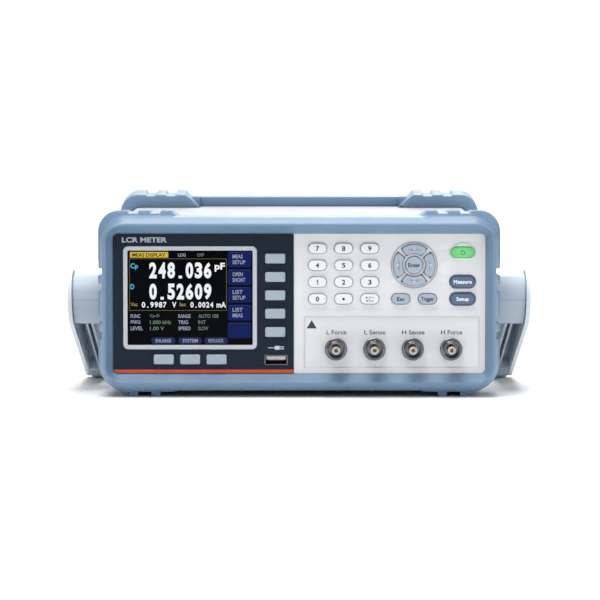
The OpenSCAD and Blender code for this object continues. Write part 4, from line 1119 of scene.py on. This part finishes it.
def word(finish, text, x0, z0, x1, z1, bold=0.02):
    sheets[finish].put(fitted(letters(text, bold, 3), *onScreen(x0, z0, x1, z1)))


# A reading in even cells, as a fixed-width screen face shows it
def reading(text, x0, z0, x1, z1, finish="litWhite", bold=0.045):
    cell = (x1 - x0) / len(text)
    for i, sign in enumerate(text):
        left = x0 + i * cell
        if sign == ".":
            tall = (z1 - z0) * 0.17
            sheets[finish].put(boxShape(*onScreen(left + cell * 0.32, z1 - tall, left + cell * 0.68, z1)))
        elif sign != " ":
            narrow = 0.3 if sign == "1" else 0.09
            place = onScreen(left + cell * narrow, z0, left + cell * (1 - narrow), z1)
            sheets[finish].put(fitted(letters(sign, bold, 4), *place))


# The top line, the frame of the readings and the two readings
sheets["litYellow"].put(boxShape(*onScreen(5, 3, 86, 15)), back)
word("screenBlack", "MEAS DISPLAY", 10, 5.5, 80, 13)
word("litGrey", "LOG", 107, 6, 123, 13)
word("litGreen", "OFF", 147, 6, 162, 13)
x0, x1, z0, z1 = onScreen(4, 17.5, 209, 127)
sheets["litStraw"].put(strokeShape([(x0, z0), (x1, z0), (x1, z1), (x0, z1), (x0, z0)], 0.14))
word("litCyan", "Cp", 6, 27, 22, 41)
word("litCyan", "D", 6, 71, 14, 82)
reading("248.036", 44, 25, 179, 59)
word("litWhite", "pF", 184, 26, 206, 45, 0.035)
reading("0.52609", 44, 70, 179, 104)
word("litStraw", "Vac", 6, 110, 21, 118)
reading("0.9987", 29, 109, 83, 121, bold=0.03)
word("litWhite", "V", 94, 109, 103, 121, 0.03)
word("litStraw", "Iac", 110, 110, 123, 118)
reading("0.0024", 132, 109, 182, 121, bold=0.03)
word("litWhite", "mA", 188, 109, 208, 121, 0.03)
for row, (left, value, right, other) in enumerate((
        ("FUNC", "Cp-D", "RANGE", "AUTO 100"), ("FREQ", "1.000 kHz", "TRIG", "INT"),
        ("LEVEL", "1.00 V", "SPEED", "SLOW"))):
    top = 135 + 13 * row
    word("litGrey", left, 6, top, 6 + 5.2 * len(left), top + 8)
    word("litGreen", value, 47, top, 47 + 5.0 * len(value), top + 8)
    word("litGrey", right, 107, top, 107 + 5.2 * len(right), top + 8)
    word("litGreen", other, 149, top, 149 + 5.4 * len(other), top + 8)
for text, left, right in (("ENLARGE", 50, 101), ("SYSTEM", 107, 157), ("KEYLOCK", 162, 212)):
    sheets["litDusk"].put(boxShape(*onScreen(left, 184, right, 198.5), 1.7), back)
    word("litGrey", text, left + 9, 187.5, right - 9, 195)
for box, lines in enumerate((("MEAS", "SETUP"), ("OPEN", "SHORT"), ("LIST", "SETUP"), ("LIST", "MEAS"), ())):
    top = 2.5 + 37.6 * box
    x0, x1, z0, z1 = onScreen(212, top, 262, top + 33)
    sheets["litNavy"].put(boxShape(x0, x1, z0, z1, 0.9), back)
    sheets["litSlate"].put(strokeShape([(x0 + 0.6, z1 - 0.25), (x1 - 0.6, z1 - 0.25)], 0.22))
    for line, text in enumerate(lines):
        word("litGrey", text, 222, top + 6 + 12 * line, 222 + 5.4 * len(text), top + 14.5 + 12 * line)
for finish, sheet in sheets.items():
    sheet.piece("screen.%s" % finish, finish)
print("screen ready")


# Printed marks on the panels
prints = dict(proud=0.03, labelHeight=2.55, labelZ=36.9)
sheet = Sheet(displayY - prints["proud"])
sheet.put(fitted(letters("LCR METER", 0.03, 5), -101.3, -75.6, 88.5, 91.5))
sheet.piece("displayName", "legendGrey")

# A small plug beside a cable: a sign for the socket under it
sheet = Sheet(displayY - prints["proud"])
px, pz = -13.2, 28.1
sheet.put(strokeShape([(px - 4.4, pz), (px - 0.6, pz)], 0.4))
sheet.put(boxShape(px - 0.8, px + 2.0, pz - 1.1, pz + 1.1, 0.35))
sheet.put(boxShape(px + 2.15, px + 4.0, pz - 0.8, pz - 0.25))
sheet.put(boxShape(px + 2.15, px + 4.0, pz + 0.25, pz + 0.8))
plugEnd = [(2.2, -0.75), (4.4, -0.75), (4.4, 0.75), (2.2, 0.75)]
sheet.put(strokeShape([(px + x, pz + z) for x, z in plugEnd], 0.25))
sheet.piece("socketSign", "legendPale")

jackPlaces = [(21.1, 27.25), (43.1, 27.25), (65.1, 27.25), (87.1, 27.25)]
sheet = Sheet(boxOf("jack_plate")[0].y - prints["proud"])
sheet.put(([(4.3, 39.1), (10.1, 39.1), (7.2, 43.9)], [(0, 1, 2)]))
half, labelZ = prints["labelHeight"] / 2, prints["labelZ"]
words = (("L Force", 11.3), ("L Sense", 12.2), ("H Sense", 12.9), ("H Force", 12.2))
for (x, z), (text, width) in zip(jackPlaces, words):
    sheet.put(fitted(letters(text, 0.014, 5), x + 0.3 - width / 2, x + 0.3 + width / 2, labelZ - half,
                     labelZ + half))
sheet.piece("jackLabels", "legendSlate")
print("panel marks ready")


# Coaxial jacks, turned about Y from the tip back
jack = dict(
    tip=-156.0, bore=4.1, boreDepth=11.0, rearHole=2.45, land=4.85, landEnd=4.3, waist=4.6, flange=6.4,
    flangeFrom=11.8, shank=4.75, threadFrom=14.6, threadPitch=0.75, lugAt=5.3, lugRadius=1.0, lugTo=5.58,
    insulator=2.4, insulatorFrom=3.0, contact=1.1, contactFrom=2.4, contactHole=0.7, segments=64)
back = boxOf("jack_bodies")[1].y - jack["tip"]
land, landEnd, waist, flange, shank = (jack[k] for k in ("land", "landEnd", "waist", "flange", "shank"))
bore, depth, hole, lugTo = jack["bore"], jack["boreDepth"], jack["rearHole"], jack["lugTo"]
profile = [(0.0, 4.3), (0.0, 4.6), (0.12, 4.75), (0.35, land), (landEnd - 0.2, land), (landEnd, waist + 0.1),
           (landEnd + 0.15, waist), (11.5, waist), (11.75, waist + 0.3), (jack["flangeFrom"], 5.2),
           (jack["flangeFrom"], 6.15), (12.0, flange), (13.75, flange), (13.97, 6.2), (13.97, shank)]
thread = jack["threadFrom"]
while thread < back - 0.9:
    profile += [(thread, shank - 0.02), (thread + 0.25, shank - 0.42), (thread + 0.5, shank - 0.02)]
    thread += jack["threadPitch"]
profile += [(back - 0.3, shank - 0.05), (back, shank - 0.35), (back, hole), (depth, hole), (depth, bore - 0.15),
            (depth - 0.15, bore), (0.25, bore)]
points, faces = turned(profile, jack["segments"])
lug = [(4.3, 0.0001), (4.3, jack["lugRadius"]), (lugTo - 0.2, jack["lugRadius"]), (lugTo, 0.8), (lugTo, 0.0001)]
for side in (1, -1):
    start = len(points)
    spots, more = turned([(side * y, r) for y, r in lug], 24, (0, 0, 0), "z")
    points += [(p[0], p[1] + jack["lugAt"], p[2]) for p in spots]
    faces += [tuple(start + i for i in f) for f in more]
places = [(x, jack["tip"], z) for x, z in jackPlaces]
# The jack shells take the darker copy of the nickel, a painted shade
grow("jackBodies", "points", shapeOf("jackShape", points, faces, 32), "jackNickel", places,
     slot="nickel_plate", replaced=["jack_bodies"], sharp=32)
end = boxOf("jack_insulators")[1].y - jack["tip"]
profile = [(jack["insulatorFrom"] + 0.25, 1.15), (jack["insulatorFrom"], 1.35), (jack["insulatorFrom"], 2.2),
           (jack["insulatorFrom"] + 0.2, jack["insulator"]), (end, jack["insulator"]), (end, 1.15)]
grow("jackInsulators", "points", shapeOf("insulatorShape", *turned(profile, 48)), "insulatorWhite", places,
     slot="white_insulator", replaced=["jack_insulators"])
end = boxOf("jack_contacts")[1].y - jack["tip"]
start, hole = jack["contactFrom"], jack["contactHole"]
profile = [(start + 0.12, hole), (start, 0.85), (start, 0.95), (start + 0.2, jack["contact"]),
           (end - 0.2, jack["contact"]), (end, 0.9), (end, 0.01), (7.4, 0.01), (7.4, hole)]
grow("jackContacts", "points", shapeOf("contactShape", *turned(profile, 32)), "contactGold", places,
     slot="gold_contact", replaced=["jack_contacts"])
print("jacks ready")


# The USB socket
usbLow, usbHigh = boxOf("usb_host_port")
usb = dict(wall=0.42, corner=0.75, tongue=(-5.5, 5.5, 0.2, 2.1), tongueFrom=1.0, pins=4, pinPitch=2.4)
a, b = (usbHigh.x - usbLow.x) / 2, (usbHigh.z - usbLow.z) / 2
ux, uz = (usbHigh.x + usbLow.x) / 2, (usbHigh.z + usbLow.z) / 2
marks = outlineMarks(5, 1)
w, r = usb["wall"], usb["corner"]
mouth, rearEnd = usbLow.y, usbHigh.y
loops = [outlineLoop(marks, a - o, b - o, r, y, ux, uz) for o, y in (
    (0.0, rearEnd), (0.0, mouth + 0.15), (0.08, mouth + 0.03), (0.2, mouth), (w - 0.05, mouth + 0.1),
    (w, mouth + 0.35), (w, rearEnd - 1.4))]
loops += [outlineLoop(marks, 0.3, 0.3, 0.2, y, ux, uz) for y in (rearEnd - 1.4, rearEnd)]
points, faces = loftFaces(loops, ring=True)
newPiece("usbShell", points, faces, "nickel", slot="nickel_plate", replaced=["usb_host_port"], recalc=True)
x0, x1, z0, z1 = usb["tongue"]
marks = outlineMarks(3, 1)
points, faces = loftFaces(plateLoops(
    marks, (x1 - x0) / 2, (z1 - z0) / 2, 0.25, mouth + usb["tongueFrom"], rearEnd - 1.5, 0.15,
    ux + (x0 + x1) / 2, uz + (z0 + z1) / 2))
newPiece("usbTongue", points, faces, "tongueGrey", slot="inner_dark", recalc=True)
# A dark liner inside the socket shell: a painted shade sheet where the inside of the shell lies in shadow
marks = outlineMarks(5, 1)
loops = [outlineLoop(marks, a - w - o, b - w - o, 0.4, y, ux, uz) for o, y in (
    (0.01, mouth + 0.7), (0.01, rearEnd - 1.5), (1.5, rearEnd - 1.5), (1.5, rearEnd - 1.6),
    (0.06, rearEnd - 1.6), (0.06, mouth + 0.7))]
points, faces = loftFaces(loops, ring=True)
newPiece("usbLiner", points, faces, "innerDark", slot="inner_dark", recalc=True)
points, faces = loftFaces(plateLoops(marks, 0.5, 0.12, 0.08, 0.0, 7.0, 0.08))
grow("usbPins", "grid", shapeOf("pinShape", points, faces), "contactGold", slot="gold_contact",
     Count=usb["pins"], Step=(usb["pinPitch"] * mm, 0, 0),
     Start=((ux - 1.5 * usb["pinPitch"]) * mm, (mouth + 1.6) * mm, (uz + z0 - 0.05) * mm))
print("usb socket ready")


# Rear: connector pins, lips of the vents and printed words
sleeveLow, sleeveHigh = boxOf("top_cover")
rearFace = boxOf("rear_panel")[1].y
rear = dict(
    portZ=37.5, serial=(12.0, 18.0), handler=(56.0, 41.0), pinPitch=2.77, pinRow=1.42, pinRadius=0.5, pinTo=4.6,
    mouth=8.0, ventWidth=2.2, ventHeight=47.0, ventPitch=6.0, ventCount=14, ventFrom=108.8,
    lip=(0.12, 0.75, 0.28), wordHeight=2.2,
    words=(("SERIAL", 12.0, 47.6, 11.0), ("HANDLER", 56.0, 47.6, 13.0), ("USB", 88.0, 47.6, 5.6),
           ("AC LINE", -62.5, 29.6, 12.5)))
marks = outlineMarks(6, 1)
for name, (x, width) in (("serialFace", rear["serial"]), ("handlerFace", rear["handler"])):
    loops = plateLoops(marks, (width - 1.0) / 2, rear["mouth"] / 2, 2.5, rearFace + 0.05, rearFace + 1.3, 0.15,
                       x, rear["portZ"])
    points, faces = loftFaces(loops)
    newPiece(name, points, faces, "innerDark", slot="inner_dark", recalc=True)
pin = [(0.0, 0.0001), (0.0, rear["pinRadius"]), (3.0, rear["pinRadius"]), (3.3, 0.3), (3.35, 0.0001)]
for name, (x, width), upper in (("serialPins", rear["serial"], 5), ("handlerPins", rear["handler"], 13)):
    for row, count in ((1, upper), (-1, upper - 1)):
        grow("%s%d" % (name, 1 if row > 0 else 2), "grid", shapeOf("pinShape", *turned(pin, 12)),
             "contactGold", slot="gold_contact", Count=count, Step=(rear["pinPitch"] * mm, 0, 0),
             Start=((x - (count - 1) * rear["pinPitch"] / 2) * mm, (rearFace + 1.2) * mm,
                    (rear["portZ"] + row * rear["pinRow"]) * mm))

marks = outlineMarks(5, 1)
inner, outer, lift = rear["lip"]
a, b = rear["ventWidth"] / 2, rear["ventHeight"] / 2
lip = [outlineLoop(marks, a + o, b + o, 0.3 + o, h) for o, h in (
    (inner, -0.3), (inner, lift * 0.5), (inner + 0.15, lift), (outer - 0.2, lift * 0.75), (outer, 0.0),
    (outer, -0.3))]
for side, x in ((1, sleeveHigh.x), (-1, sleeveLow.x)):
    loops = [[(side * p[1], p[0], p[2]) for p in row] for row in lip]
    shape = shapeOf("lipShape", *loftFaces(loops, ring=True))
    grow("ventLips%s" % ("Right" if side > 0 else "Left"), "grid", shape, "casePaint", slot="case_paint",
         Count=rear["ventCount"], Step=(0, -rear["ventPitch"] * mm, 0),
         Start=(x * mm, (rear["ventFrom"] - rear["ventWidth"] / 2) * mm, midZ * mm))

sheet = Sheet(rearFace + 0.03, flip=True)
half = rear["wordHeight"] / 2
for text, x, z, width in rear["words"]:
    sheet.put(fitted(letters(text, 0.02, 4), -x - width / 2, -x + width / 2, z - half, z + half))
sheet.piece("rearWords", "legendSlate")
print("rear ready")


# Pieces kept from the solid model: softened edges and a finish of their own
finishes["handleParted"] = makeParted("handleParted", finishes["handleGrey"], midZ)
kept = {
    "top_cover": ("casePaint", 0.2), "bottom_pan": ("panSteel", 0.15), "rear_panel": ("rearSheet", 0.15),
    "front_bezel": ("bezelGrey", 0.2), "display_panel": ("displayNavy", 0.25), "accent_strip": ("accentOrange", 0.2),
    "lcd_frame": ("trimSilver", 0.45), "lcd_module": ("innerDark", 0.2), "jack_plate": ("jackPlate", 0.15),
    "jack_nuts": ("nickel", 0.2), "power_light_ring": ("lightGuide", 0.15), "front_board": ("boardGreen", 0.08),
    "key_switches": ("chipBlack", 0.12), "main_board": ("boardGreen", 0.08), "main_board_parts": ("chipBlack", 0.15),
    "power_supply": ("supplyParts", 0.15), "mains_inlet": ("inletBlack", 0.3), "mains_rocker": ("rockerRed", 0.3),
    "rear_ports": ("nickel", 0.12), "handle_hubs": ("innerDark", 0.2), "handle_frame": ("handleParted", 0.5),
    "handle_covers": ("handlePale", 0.8), "screws": ("screwSteel", 0.1)}


def soften(name, finish, width):
    node = nodes[name]
    node.data.materials.clear()
    node.data.materials.append(finishes[finish])
    weld = node.modifiers.new("weld", "WELD")
    weld.merge_threshold = 0.000002
    edges = node.modifiers.new("edges", "BEVEL")
    edges.width, edges.segments, edges.limit_method = width * mm, 3, "ANGLE"
    edges.angle_limit, edges.harden_normals, edges.use_clamp_overlap = radians(32), True, True
    normals = node.modifiers.new("normals", "WEIGHTED_NORMAL")
    normals.keep_sharp = True


for name, (finish, width) in kept.items():
    soften(name, finish, width)
print("kept pieces ready:", len(kept))
